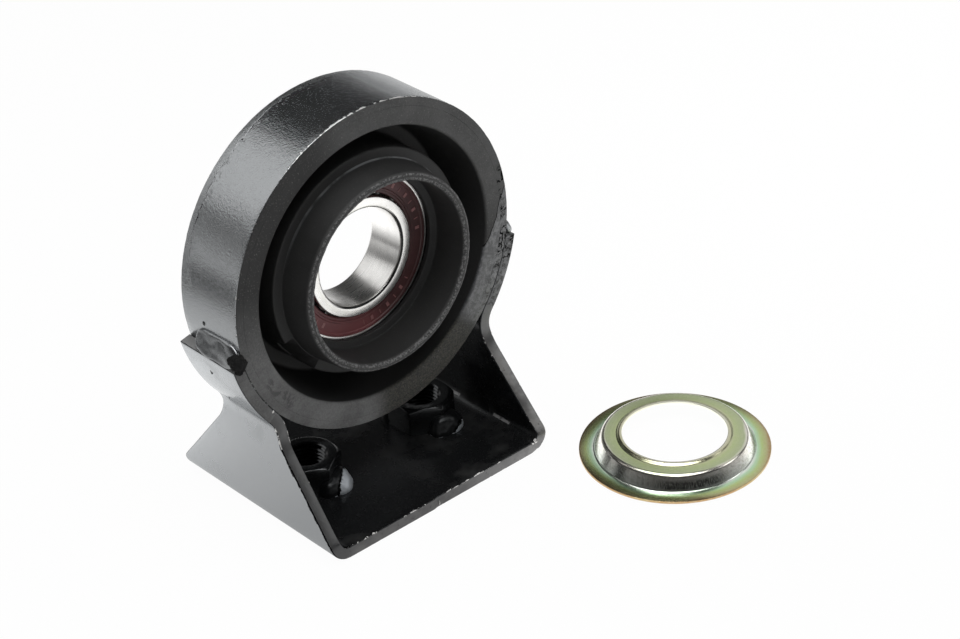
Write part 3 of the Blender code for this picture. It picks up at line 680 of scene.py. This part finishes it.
def makeMount():
    size = SimpleNamespace(**mount)
    half, floor, slope = size.half, size.channelFloor, size.rearSlope
    lipFront, lipRear = size.seatFront - size.frontLip, size.seatRear + size.rearLip
    form = lathe([
        (size.outer, -half),
        (size.faceInner, -half, 0.8 * mm, 4),
        (size.channelFloorRadius, floor, 1.0 * mm, 4),
        (size.bufferRadius, floor, 1.0 * mm, 4),
        (size.bufferRadius, size.bufferFace, 0.7 * mm, 4),
        (size.rootRadius, size.bufferFace, 0.25 * mm, 3),
        (size.rimRadius, size.rimFront, 1.3 * mm, 6),
        (size.mouthRadius, size.rimFront, 1.3 * mm, 6),
        (size.mouthRadius, lipFront, 0.4 * mm, 3),
        (size.lip, size.seatFront - 0.7 * size.frontLip, 0.4 * mm, 3),
        (size.lip, size.seatFront), (size.seat, size.seatFront), (size.seat, size.seatRear),
        (size.lip, size.seatRear),
        (size.lip, lipRear, 0.5 * mm, 3),
        (size.rearHub, lipRear, 0.6 * mm, 3),
        (size.rearHub + slope, size.webRear, 1.0 * mm, 3),
        (size.rearFace - slope, size.webRear, 1.0 * mm, 3),
        (size.rearFace, half, 0.6 * mm, 3),
        (size.outer, half),
    ], size.steps)
    # recesses in the buffer step
    low = (size.rootRadius + size.bufferRadius) / 2 - 1.2 * mm
    for vert in form.verts:
        radius, along = ringPlace(vert)
        if low < radius < size.bufferRadius + 1e-5 and along < size.bufferFace + 1.0 * mm:
            angle = math.degrees(math.atan2(vert.co.z - axisHeight, vert.co.x))
            inside = max(size.notchHalf - abs(angle - middle) for middle in size.notches)
            vert.co.y += size.notchDepth * max(0.0, min(1.0, inside / size.notchRamp)) ** 0.7
    # the collar and its rim are not quite even
    for vert in form.verts:
        radius, along = ringPlace(vert)
        if along < size.collarFrom and radius < 37 * mm:
            reach = min(1.0, (size.collarFrom - along) / (11 * mm))
            push = noise.noise(Vector((vert.co.x, 0, vert.co.z)) / size.collarWave) * size.collarSway
            vert.co += Vector((vert.co.x, 0, vert.co.z - axisHeight)).normalized() * push * reach
            vert.co.y = max(size.rimFront, vert.co.y + abs(push) * 0.5 * reach)
    rim = [vert for vert in form.verts if vert.co.y < size.rimFrom]
    roughen(form, rim, *size.rimWear)
    for vert in rim:
        vert.co.y = max(size.rimFront, vert.co.y)
    addPiece(form, "rubberMount", ["rubber"], "rubber_mount")


makeMount()
print("rubber mount made")


# ball bearing

bearing = {
    "middle": 1.65 * mm, "steps": 240,
    "bore": 17.5 * mm, "innerLand": 21.4 * mm, "innerHalf": 8.15 * mm,
    "outer": 31.0 * mm, "outerLand": 27.1 * mm, "outerHalf": 7.0 * mm,
    "recess": 28.9 * mm, "recessDepth": 1.8 * mm,
    "pitch": 24.25 * mm, "ball": 3.97 * mm, "play": 0.2 * mm, "count": 11,
    "sealBack": 0.35 * mm, "sealThick": 1.1 * mm, "sealPlay": 0.08 * mm, "sealGap": 0.75 * mm,
    "groove": (1.15 * mm, 2.1 * mm, 0.28 * mm),     # the sunk field: from outside, from inside, depth
    "bars": 44, "barGroup": 11, "barsInGroup": 7, "barLength": 1.7 * mm, "barTall": 0.16 * mm,
    "barWidths": (1.1, 0.32),              # mm, in turn
}


def raceGroove(land, side, steps=16):
    # groove points between the two edges of a raceway
    size = SimpleNamespace(**bearing)
    groove = size.ball + size.play
    reach = math.acos(abs(land - size.pitch) / groove)
    turns = [-reach + 2 * reach * step / steps for step in range(steps + 1)]
    return [(size.pitch + side * groove * math.cos(turn), size.middle + groove * math.sin(turn))
            for turn in turns]


def makeRaces():
    size = SimpleNamespace(**bearing)
    middle, half, deep = size.middle, size.outerHalf, size.outerHalf - size.recessDepth
    form = lathe([
        (size.outer, middle + half, 1.0 * mm, 5), (size.outer, middle - half, 1.0 * mm, 5),
        (size.recess, middle - half, 0.2 * mm, 2), (size.recess, middle - deep),
        (size.outerLand, middle - deep), *raceGroove(size.outerLand, 1), (size.outerLand, middle + deep),
        (size.recess, middle + deep), (size.recess, middle + half, 0.2 * mm, 2),
    ], size.steps)
    addPiece(form, "outerRace", ["race"], "outer_ring")
    half = size.innerHalf
    form = lathe([
        (size.bore, middle + half, 1.0 * mm, 6), (size.innerLand, middle + half, 0.35 * mm, 4),
        *reversed(raceGroove(size.innerLand, -1)),
        (size.innerLand, middle - half, 0.35 * mm, 4), (size.bore, middle - half, 1.0 * mm, 6),
    ], size.steps)
    addPiece(form, "innerRace", ["race"], "inner_ring", "inner_race")


def makeSeal(name, node, side):
    # side is -1 at the front and 1 at the back
    size = SimpleNamespace(**bearing)
    face = size.outerHalf - size.sealBack
    back = face - size.sealThick
    outer, lip = size.recess - size.sealPlay, size.innerLand + size.sealGap
    fromOutside, fromInside, depth = size.groove
    profile = [
        (outer, back), (outer, face), (outer - 0.9 * mm, face), (outer - fromOutside, face - depth),
        (lip + fromInside, face - depth), (lip + 1.8 * mm, face - 0.05 * mm),
        (lip + 1.3 * mm, face - 0.05 * mm),
        (lip + 1.05 * mm, face - 0.40 * mm), (lip + 0.35 * mm, face - 0.40 * mm), (lip, face - 0.75 * mm),
        (lip, back),
    ]
    form = lathe([(radius, size.middle + side * along) for radius, along in profile], size.steps)
    # plain raised bars round the sunk field, in groups
    middle = (outer - fromOutside + lip + fromInside) / 2
    spot = Matrix.Translation(axisPoint + alongY * (size.middle + side * (face - 0.26 * mm)))
    for i in range(size.bars):
        if i % size.barGroup < size.barsInGroup:
            turn = Matrix.Rotation(-math.tau * i / size.bars, 4, "Y") @ Matrix.Translation((middle, 0, 0))
            stretch = Matrix.Diagonal((size.barLength, size.barTall, size.barWidths[i % 2] * mm, 1))
            bmesh.ops.create_cube(form, size=1.0, matrix=spot @ turn @ stretch)
    addPiece(form, name, ["seal"], node)


def makeBalls():
    size = SimpleNamespace(**bearing)
    for i in range(size.count):
        angle = math.tau * i / size.count
        spot = axisPoint + Vector((size.pitch * math.cos(angle), size.middle, size.pitch * math.sin(angle)))
        form = bmesh.new()
        bmesh.ops.create_uvsphere(form, u_segments=40, v_segments=20, radius=size.ball,
                                  matrix=Matrix.Translation(spot))
        addPiece(form, f"bearingBall{i + 1}", ["ball"], f"ball_{i + 1}",
                 f"rolling_ball_{i + 1}", sharp=0)


makeRaces()
makeSeal("frontSeal", "front_seal", -1)
makeSeal("rearSeal", "rear_seal", 1)
makeBalls()
for name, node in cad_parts.items():
    if name.startswith(("cage_", "rivet_")):
        for slot in node.material_slots:
            slot.material = finish["cage"]
print("bearing made")


# folded bracket

bracket = {
    "sheet": 4.0 * mm, "baseHalf": 48.7 * mm, "depthHalf": 40.5 * mm, "fold": 7.8 * mm,
    "hug": 62.8 * mm, "hugSteps": 24,      # radius of the tips' outer face
    "tip": -12.5, "leave": -41.5, "neck": 11.0 * mm, "neckRoom": 4, "pointGap": 1.6 * mm,
    "narrow": 14.5 * mm, "flareFoot": 6.4 * mm, "flareSlope": 49.5,
    "flareCorner": 4.5 * mm, "waist": 16.0 * mm,
    "edge": 0.3 * mm, "fill": 0.24 * mm,   # paint fills the gap to the ring
    "skinFrom": 46 * mm, "step": 0.35 * mm, "waves": (22 * mm, 0.10 * mm, 5.0),
    "looks": ("sheet", "inside", "cut", "edge", "sheet", "inside", "rubber"),
}


def bracketPath():
    # outer face as (x, z), right tip to left tip
    size = SimpleNamespace(**bracket)
    hug = []
    for step in range(size.hugSteps + 1):
        angle = math.radians(size.tip + (size.leave - size.tip) * step / size.hugSteps)
        hug.append((size.hug * math.cos(angle), axisHeight + size.hug * math.sin(angle), 0))
    leave = Vector(hug[-1][:2])
    fold = Vector((size.baseHalf - size.fold, size.fold))
    reach = leave - fold
    lean = math.atan2(reach.y, reach.x) - math.acos(size.fold / reach.length)
    corner = fold + Vector((math.cos(lean), math.sin(lean))) * size.fold
    along = Vector((-math.sin(lean), math.cos(lean)))
    foot = corner - along * (corner.y / along.y)
    # the neck's arc takes the room of the last points
    side = hug[:-size.neckRoom] + [(leave.x, leave.y, size.neck), (foot.x, foot.y, size.fold)]
    path = roundedPath(side + [(-x, z, r) for x, z, r in reversed(side)], 12)
    fine = [path[0]]
    for point in path[1:]:
        start = fine[-1]
        parts = max(1, round((point - start).length / size.pointGap))
        fine += [start.lerp(point, part / parts) for part in range(1, parts + 1)]
    return fine


def halfWidthAt():
    # half the strip's width for a height, from its side outline
    size = SimpleNamespace(**bracket)
    wide, narrow = size.depthHalf, size.narrow
    waist = size.flareFoot + (wide - narrow) * math.tan(math.radians(size.flareSlope))
    outline = roundedPath([(wide, -10 * mm, 0), (wide, size.flareFoot, size.flareCorner),
                           (narrow, waist, size.waist), (narrow, 90 * mm, 0)], 16)

    def at(height):
        for low, high in zip(outline, outline[1:]):
            if low.y <= height <= high.y:
                share = (height - low.y) / max(1e-9, high.y - low.y)
                return low.x + (high.x - low.x) * share
        return narrow
    return at


def makeBracket():
    size = SimpleNamespace(**bracket)
    width = halfWidthAt()
    form = bmesh.new()
    verts = [form.verts.new((point.x, -width(point.y), point.y)) for point in bracketPath()]
    edges = [form.edges.new(pair) for pair in zip(verts, verts[1:])]
    for part in bmesh.ops.extrude_edge_only(form, edges=edges)["geom"]:
        if isinstance(part, bmesh.types.BMVert):
            part.co.y = -part.co.y
    bmesh.ops.subdivide_edges(form, edges=acrossEdges(form), cuts=23, use_grid_fill=True)
    form.normal_update()
    base = min(form.faces, key=lambda face: face.calc_center_median().z)
    if base.normal.z > 0:
        bmesh.ops.reverse_faces(form, faces=form.faces)
    # the sheared front edge has a small step where the blanks were parted
    for vert in form.verts:
        if vert.co.y < -40.4 * mm and vert.co.z < 1 * mm and vert.co.x > -4 * mm:
            vert.co.y += size.step
    roughen(form, [vert for vert in form.verts if vert.co.z > size.fold + 0.2 * mm], *size.waves)
    away = form.verts.layers.float.new("edgeDistance")
    for vert in form.verts:
        vert[away] = width(vert.co.z) - abs(vert.co.y)
    # up beside the ring the cut face has the same dull skin as the ring's face
    for face in form.faces:
        if face.calc_center_median().z > size.skinFrom:
            face.material_index = 4
    piece = addPiece(form, "foldedBracket", size.looks, "bracket", sharp=0)
    wall = piece.modifiers.new("sheet", "SOLIDIFY")
    wall.thickness = size.sheet + size.fill
    wall.offset = -1
    wall.use_even_offset = True
    wall.material_offset = 1
    wall.material_offset_rim = 2
    soften = piece.modifiers.new("edges", "BEVEL")
    soften.width = size.edge
    soften.segments = 3
    soften.limit_method = "ANGLE"
    soften.angle_limit = math.radians(50)
    soften.material = 3


makeBracket()
print("bracket made")


# nuts

nut = {
    "spacing": 51.6 * mm, "acrossFlats": 21.0 * mm, "low": 4.0 * mm, "high": 14.7 * mm,
    "face": 10.15 * mm, "bore": 6.75 * mm, "crest": 6.2 * mm, "pitch": 1.5 * mm, "mouth": 7.3 * mm,
    "slope": 30, "edge": 0.25 * mm, "faceEdge": 0.45 * mm, "mouthEdge": 0.2 * mm, "turnSteps": 72,
}


def makeNut(name, node, side):
    size = SimpleNamespace(**nut)
    centre = Vector((side * size.spacing / 2, 0, 0))
    corner, tall = size.acrossFlats / math.sqrt(3), size.high - size.low
    form = bmesh.new()
    bmesh.ops.create_cone(form, cap_ends=True, segments=6, radius1=corner, radius2=corner, depth=tall,
                          matrix=Matrix.Translation(centre + alongZ * (size.low + tall / 2)))
    body = addPiece(form, name, ["nut"], node, sharp=30)
    # the hexagon is cut to a turned blank with a chamfered face and a bore
    low, rim = size.low - 2 * mm, corner + 1 * mm
    slope = math.tan(math.radians(size.slope))
    blank = lathe([(size.mouth - 0.75 * mm, low), (rim, low), (rim, size.high - (rim - size.face) * slope),
                   (size.face, size.high), (size.mouth, size.high),
                   (size.bore, size.high - (size.mouth - size.bore) * 0.8), (size.bore, low)],
                  96, centre, alongZ)
    tool = linked("nutBlank", meshOf(blank, "nutBlank"))
    trim = body.modifiers.new("trim", "BOOLEAN")
    trim.operation = "INTERSECT"
    trim.solver = "EXACT"
    trim.object = tool
    bpy.context.view_layer.update()
    shaped = bpy.data.meshes.new_from_object(body.evaluated_get(bpy.context.evaluated_depsgraph_get()))
    body.modifiers.clear()
    bpy.data.objects.remove(tool, do_unlink=True)
    # thread: a ridge wound up the bore
    form = bmesh.new()
    form.from_mesh(shaped)
    bmesh.ops.remove_doubles(form, verts=form.verts, dist=1e-6)
    outer, pitch, start = size.bore + 0.12 * mm, size.pitch, size.low - 0.2 * mm
    profile = [(outer, start), (outer, start + 0.86 * pitch), (size.crest, start + 0.50 * pitch),
               (size.crest, start + 0.36 * pitch)]
    verts = [form.verts.new(centre + Vector((radius, 0, height))) for radius, height in profile]
    ridge = form.faces.new(verts)
    turns = int((tall - 0.7 * mm) / pitch)
    bmesh.ops.spin(form, geom=[ridge] + list(ridge.edges) + verts, cent=centre, axis=alongZ,
                   dvec=(0, 0, pitch / size.turnSteps), angle=math.tau * turns, steps=size.turnSteps * turns,
                   use_merge=False, use_normal_flip=False, use_duplicate=False)
    bmesh.ops.recalc_face_normals(form, faces=form.faces)
    flats = [edge for edge in form.edges if edge.is_manifold and edge.calc_face_angle() > math.radians(50)
             and (edge.verts[0].co - centre).xy.length > 9 * mm]
    bevelEdges(form, flats, size.edge, 2)
    for radius, amount in ((size.face, size.faceEdge), (size.mouth, size.mouthEdge)):
        circle = [edge for edge in form.edges if all(
            abs(vert.co.z - size.high) < 1e-5 and abs((vert.co - centre).xy.length - radius) < 0.1 * mm
            for vert in edge.verts)]
        bevelEdges(form, circle, amount, 4)
    form.to_mesh(body.data)
    form.free()
    body.data.shade_smooth()
    body.data.set_sharp_from_angle(angle=math.radians(30))


makeNut("weldNutLeft", "weld_nut_left", -1)
makeNut("weldNutRight", "weld_nut_right", 1)
print("nuts made")


# welds

def pillow(middle, along, up, out, halves, power):
    # a boxy egg with its own directions: half sizes along, up and out
    form = bmesh.new()
    bmesh.ops.create_icosphere(form, subdivisions=5, radius=1.0)
    for vert in form.verts:
        unit = vert.co.normalized()
        size = sum(abs(part) ** power for part in unit) ** (-1 / power)
        a, b, c = unit * size
        vert.co = middle + along * (a * halves[0]) + up * (b * halves[1]) + out * (c * halves[2])
    return form


def joinForms(first, *others):
    # puts the other forms' meshes into the first
    for other in others:
        mesh = meshOf(other, "joined")
        first.from_mesh(mesh)
        bpy.data.meshes.remove(mesh)
    return first


def drop(spot, out, size, flat=0.5):
    # a small flattened drop of spatter
    form = bmesh.new()
    turn = out.to_track_quat("Z", "Y").to_matrix().to_4x4()
    stretch = Matrix.Diagonal((size[0], size[1], size[0] * flat, 1))
    bmesh.ops.create_icosphere(form, subdivisions=3, radius=1.0,
                               matrix=Matrix.Translation(spot) @ turn @ stretch)
    return form


def onRing(radius, degrees, y):
    angle = math.radians(degrees)
    return Vector((radius * math.cos(angle), y, axisHeight + radius * math.sin(angle)))


tipWeld = {
    # a fillet from the plate's outer corner up on to the ring: radius and degrees
    "plate": (62.7 * mm, -12.9), "ring": (58.4 * mm, -5.4),
    "front": -14.4 * mm, "back": 7.6 * mm, "thick": 1.75 * mm, "inside": 0.55 * mm, "boxy": 3.2,
    "waves": (7.0 * mm, 0.6 * mm, 4.0), "grain": (2.2 * mm, 0.05 * mm, 9.0),
    "lump": ((60.2 * mm, 190.6, -14.0 * mm), Vector((-0.8, -0.6, 0.0)), (2.9 * mm, 3.6 * mm), 0.75),
    "lumpWaves": (2.2 * mm, 1.1 * mm, 3.3), "lumpGrain": (0.8 * mm, 0.45 * mm, 5.1),
}


def makeTipWeld(name, node, side):
    size = SimpleNamespace(**tipWeld)
    low, high = (onRing(radius, degrees if side > 0 else 180 - degrees, 0)
                 for radius, degrees in (size.plate, size.ring))
    up = (high - low).normalized()
    out = alongY.cross(up) * side
    middle = (low + high) / 2 - out * size.inside
    middle.y = (size.front + size.back) / 2
    halves = ((size.back - size.front) / 2, (high - low).length / 2, size.thick)
    form = pillow(middle, alongY, up, out, halves, size.boxy)
    # the middle has sunk below its rim
    for vert in form.verts:
        offset = vert.co - middle
        height = offset.dot(out)
        reach = max(abs(offset.y) / halves[0], abs(offset.dot(up)) / halves[1])
        if height > 0:
            vert.co -= out * height * 0.3 * max(0.0, 1 - reach ** 3)
    for wavelength, amount, seed in (size.waves, size.grain):
        roughen(form, form.verts, wavelength, amount, seed + side)
    if side < 0:
        # burnt lump at the front end
        spot, towards, stretch, flat = size.lump
        lump = drop(onRing(*spot), towards, stretch, flat)
        bmesh.ops.subdivide_edges(lump, edges=lump.edges, cuts=1, use_grid_fill=True)
        roughen(lump, lump.verts, *size.lumpWaves)
        roughen(lump, lump.verts, *size.lumpGrain)
        for face in lump.faces:
            face.material_index = 1
        form = joinForms(form, lump)
    addPiece(form, name, ["tipWeld", "soot"], node, sharp=0)


makeTipWeld("tipWeldLeft", "ring_weld_left", -1)
makeTipWeld("tipWeldRight", "ring_weld_right", 1)

nutWeld = {
    "off": 10.6 * mm, "height": 4.4 * mm, "across": 6.8 * mm, "tall": 6.2 * mm, "reach": 5.4 * mm,
    "boxy": 2.3,
    "low": 2.5 * mm, "waves": (4.5 * mm, 1.1 * mm), "grain": (1.8 * mm, 0.15 * mm),
}


def makeNutWeld(name, node, side, facing, seed, share=1.0):
    # facing is the side of the nut it lies on, in degrees
    size = SimpleNamespace(**nutWeld)
    out = Vector((math.cos(math.radians(facing)), math.sin(math.radians(facing)), 0))
    across = Vector((-out.y, out.x, 0))
    middle = Vector((side * nut["spacing"] / 2, 0, size.height)) + out * size.off
    halves = [half * share for half in (size.across, size.tall, size.reach)]
    form = pillow(middle, across, alongZ, out, halves, size.boxy)
    roughen(form, form.verts, *size.waves, seed)
    roughen(form, form.verts, *size.grain, seed + 5)
    for vert in form.verts:
        vert.co.z = max(size.low, vert.co.z)
    addPiece(form, name, ["nutWeld"], node, sharp=0)


makeNutWeld("nutWeldLeftFront", "nut_weld_left_front", -1, -74, 1.0)
makeNutWeld("nutWeldLeftBack", "nut_weld_left_back", -1, 118, 2.0, 0.85)
makeNutWeld("nutWeldRightFront", "nut_weld_right_front", 1, -80, 3.0)
makeNutWeld("nutWeldRightBack", "nut_weld_right_back", 1, 120, 4.0, 0.85)

spatter = {
    # radius, degrees and y on the ring or the plate, half sizes and flatness
    "drops": (
        (58.4, 183.5, 3.6, 0.75, 0.95, 0.5),
        (62.7, 199.3, 1.6, 0.55, 1.2, 0.3),
        (62.7, 213.9, 3.8, 0.25, 0.95, 0.4),
        (58.4, 187.0, -8.7, 0.45, 0.5, 0.5),
    ),
    "out": Vector((-1, 0, -0.1)), "wear": (0.8 * mm, 0.12 * mm, 1.0),
}
burrs = {
    # place, direction and half sizes: where the left side leaves the ring, the front edge, its right corner
    "drops": (
        ((-47.9, -14.45, 49.3), (0, -1, 0), 0.45, 0.45),
        ((-1.6, -40.4, 1.4), (0, -1, 0), 0.14, 1.1),
        ((43.6, -40.2, 4.0), (0, -0.7, 0.7), 0.9, 0.35),
        ((42.2, -40.2, 3.9), (0, -0.7, 0.7), 0.4, 0.3),
    ),
    "wear": (0.7 * mm, 0.15 * mm, 4.0),
}


def makeSpatter():
    form = joinForms(*(drop(onRing(radius * mm, degrees, y * mm), spatter["out"],
                            (wide * mm, tall * mm), flat)
                       for radius, degrees, y, wide, tall, flat in spatter["drops"]))
    roughen(form, form.verts, *spatter["wear"])
    addPiece(form, "weldSpatter", ["spatter"], sharp=0)


def makeBurrs():
    form = joinForms(*(drop(Vector(spot) * mm, Vector(out), (wide * mm, tall * mm))
                       for spot, out, wide, tall in burrs["drops"]))
    roughen(form, form.verts, *burrs["wear"])
    addPiece(form, "bareBurrs", ["bare"], sharp=0)


makeSpatter()
makeBurrs()
print("welds made")


# dust shield

shield = {
    "centre": Vector((78.6 * mm, -73.6 * mm, 0)), "sheet": 0.8 * mm, "steps": 240,
    "radius": 33.5 * mm, "root": 28.1 * mm, "shoulder": 25.4 * mm, "top": 6.3 * mm,
    "lip": 20.3 * mm, "rise": 0.7 * mm, "slope": 0.8 * mm, "hole": 18.4 * mm,
}


def makeShield():
    size = SimpleNamespace(**shield)
    sheet, top, raised = size.sheet, size.top, size.top + size.rise
    form = lathe([
        (size.radius, sheet, 0.2 * mm, 2), (size.root, sheet, 0.5 * mm, 4), (size.shoulder, top, 1.0 * mm, 7),
        (size.lip, top, 0.35 * mm, 3), (size.lip - size.slope, raised, 0.35 * mm, 3),
        (size.hole, raised, 0.2 * mm, 2), (size.hole, raised - sheet),
        (size.lip - size.slope - sheet / 3, raised - sheet), (size.lip - sheet / 3, top - sheet),
        (size.shoulder - 0.8 * sheet, top - sheet), (size.root - 0.8 * sheet, 0), (size.radius, 0),
    ], size.steps, size.centre, alongZ)
    finish["zinc"] = zincFinish(size.centre)
    addPiece(form, "pressedShield", ["zinc"], "dust_shield", sharp=40)


makeShield()
print("dust shield made")


# floor, lights and camera

stage = {
    "floor": 3.0, "paleness": 0.88,
    "cameraShare": 0.97,                        # how much of the floor is plain white to the camera
    # the floor's levels to mirror rays: near the object, more behind it and beside the shield, less in front
    "near": 0.85, "behind": 0.70, "front": 0.18, "beside": 0.60, "peak": 2.0,
    "shade": (-0.36, 0.31), "shadeReach": (0.31, 0.11),     # a dark patch behind on the left
    "skyHigh": 0.03, "skyLow": 0.50, "bandFrom": -0.02, "bandTo": 0.40,
    "lamps": (
        # name, from, towards, width, height, radiance
        ("overheadLeftBack", (-0.50, 0.80, 0.86), (0, 0, 0.08), 0.85, 0.85, 1.05),
        ("rightPanel", (0.36, 0.02, 0.17), (0.36, 0.02, 0), 0.39, 0.34, 0.75),
        ("overhead", (-0.08, -0.17, 1.1), (-0.08, -0.17, 0.0), 0.8, 1.1, 3.6),
        ("frontRight", (0.84, -0.74, 0.71), (0, 0, 0.03), 0.45, 0.45, 2.0),
    ),
}


class StageMaker(Maker):
    # the same node helpers for the floor's and the world's own trees
    def __init__(self, tree, shader, output):
        self.tree = tree
        self.shader = tree.nodes[shader]
        self.output = tree.nodes[output]
        self.cameraRay = self.add("ShaderNodeLightPath", output="Is Camera Ray")
        rays = self.cameraRay.socket.node.outputs
        self.mirrorRay = Value(self, rays["Is Glossy Ray"]).most(Value(self, rays["Is Transmission Ray"]))

    def show(self, share, other):
        # the tree's own shader, and another one for a share of the rays
        own = Value(self, self.shader.outputs[0])
        mixed = self.add("ShaderNodeMixShader", {}, {0: share, 1: own, 2: other})
        self.feed(self.output.inputs["Surface"], mixed)


def makeFloor():
    size = SimpleNamespace(**stage)
    form = bmesh.new()
    bmesh.ops.create_grid(form, x_segments=1, y_segments=1, size=size.floor,
                          matrix=Matrix.Translation((0, 0, -0.1 * mm)))
    floor = linked("paleFloor", meshOf(form, "paleFloor"))
    pale = bpy.data.materials.new("paleFloor")
    pale.use_nodes = True
    floor.data.materials.append(pale)
    made = StageMaker(pale.node_tree, "Principled BSDF", "Material Output")
    made.set(Base_Color=grey(size.paleness), Roughness=0.6, Specular_IOR_Level=0.2)
    x, y = made.parts(made.add("ShaderNodeTexCoord", output="Object"))[:2]
    shade = length(x - size.shade[0], y - size.shade[1]).rise(*size.shadeReach)
    behind = y.rise(0.02, 0.09) * x.rise(-0.11, -0.06) * x.rise(0.06, 0.02)
    front = y.rise(0.03, -0.02)
    beside = x.rise(0.0, 0.04) * x.rise(0.25, 0.18) * y.rise(0.08, 0.0)
    seen = size.near + behind * size.behind - front * (1.0 - beside) * size.front + beside * size.beside
    seen = seen * (1.0 - shade * 0.9)
    # the camera sees plain white; mirrors see the floor's own levels
    level = (made.cameraRay + (1.0 - made.cameraRay) * seen) / size.peak
    colour = made.mix(level, grey(0.0), grey(1.0))
    white = made.add("ShaderNodeEmission", {}, {"Strength": size.peak, "Color": colour})
    made.show((made.cameraRay * size.cameraShare).most(made.mirrorRay), white)


def makeSky():
    # a white band low round the horizon under a dark ceiling; plain white to the camera
    size = SimpleNamespace(**stage)
    world = bpy.data.worlds.new("paleStudio")
    bpy.context.scene.world = world
    world.use_nodes = True
    made = StageMaker(world.node_tree, "Background", "World Output")
    height = made.parts(made.add("ShaderNodeTexCoord", output="Generated"))[2]
    made.set(Color=made.mix(height.rise(size.bandTo, size.bandFrom), grey(size.skyHigh), grey(size.skyLow)))
    made.show(made.cameraRay, made.add("ShaderNodeBackground", {}, {"Color": grey(1.0)}))


def makeLamps():
    for name, start, towards, width, height, radiance in stage["lamps"]:
        lamp = bpy.data.lights.new(name, "AREA")
        lamp.shape = "RECTANGLE"
        lamp.size, lamp.size_y = width, height
        lamp.energy = radiance * math.pi * width * height    # a plain emitter's watts for its radiance
        holder = linked(name, lamp)
        holder.location = start
        holder.rotation_euler = (Vector(towards) - Vector(start)).to_track_quat("-Z", "Y").to_euler()


view = {
    "eye": (-0.456605, -0.600704, 0.519811),
    "right": (0.73950675, -0.67127995, -0.05012979),
    "up": (0.38543227, 0.36119703, 0.84910463),
    "back": (-0.55188018, -0.64724024, 0.5258406),
    "lens": 97.79, "film": 36.0,
}


def makeCamera():
    camera = bpy.data.cameras.new("photoView")
    camera.lens, camera.sensor_width, camera.sensor_fit = view["lens"], view["film"], "HORIZONTAL"
    camera.clip_start, camera.clip_end = 0.01, 20.0
    holder = linked("photoView", camera)
    turn = Matrix((view["right"], view["up"], view["back"])).transposed().to_4x4()
    holder.matrix_world = Matrix.Translation(view["eye"]) @ turn
    bpy.context.scene.camera = holder
    bpy.context.scene.view_settings.view_transform = "Standard"


makeFloor()
makeSky()
makeLamps()
makeCamera()
print("stage made")
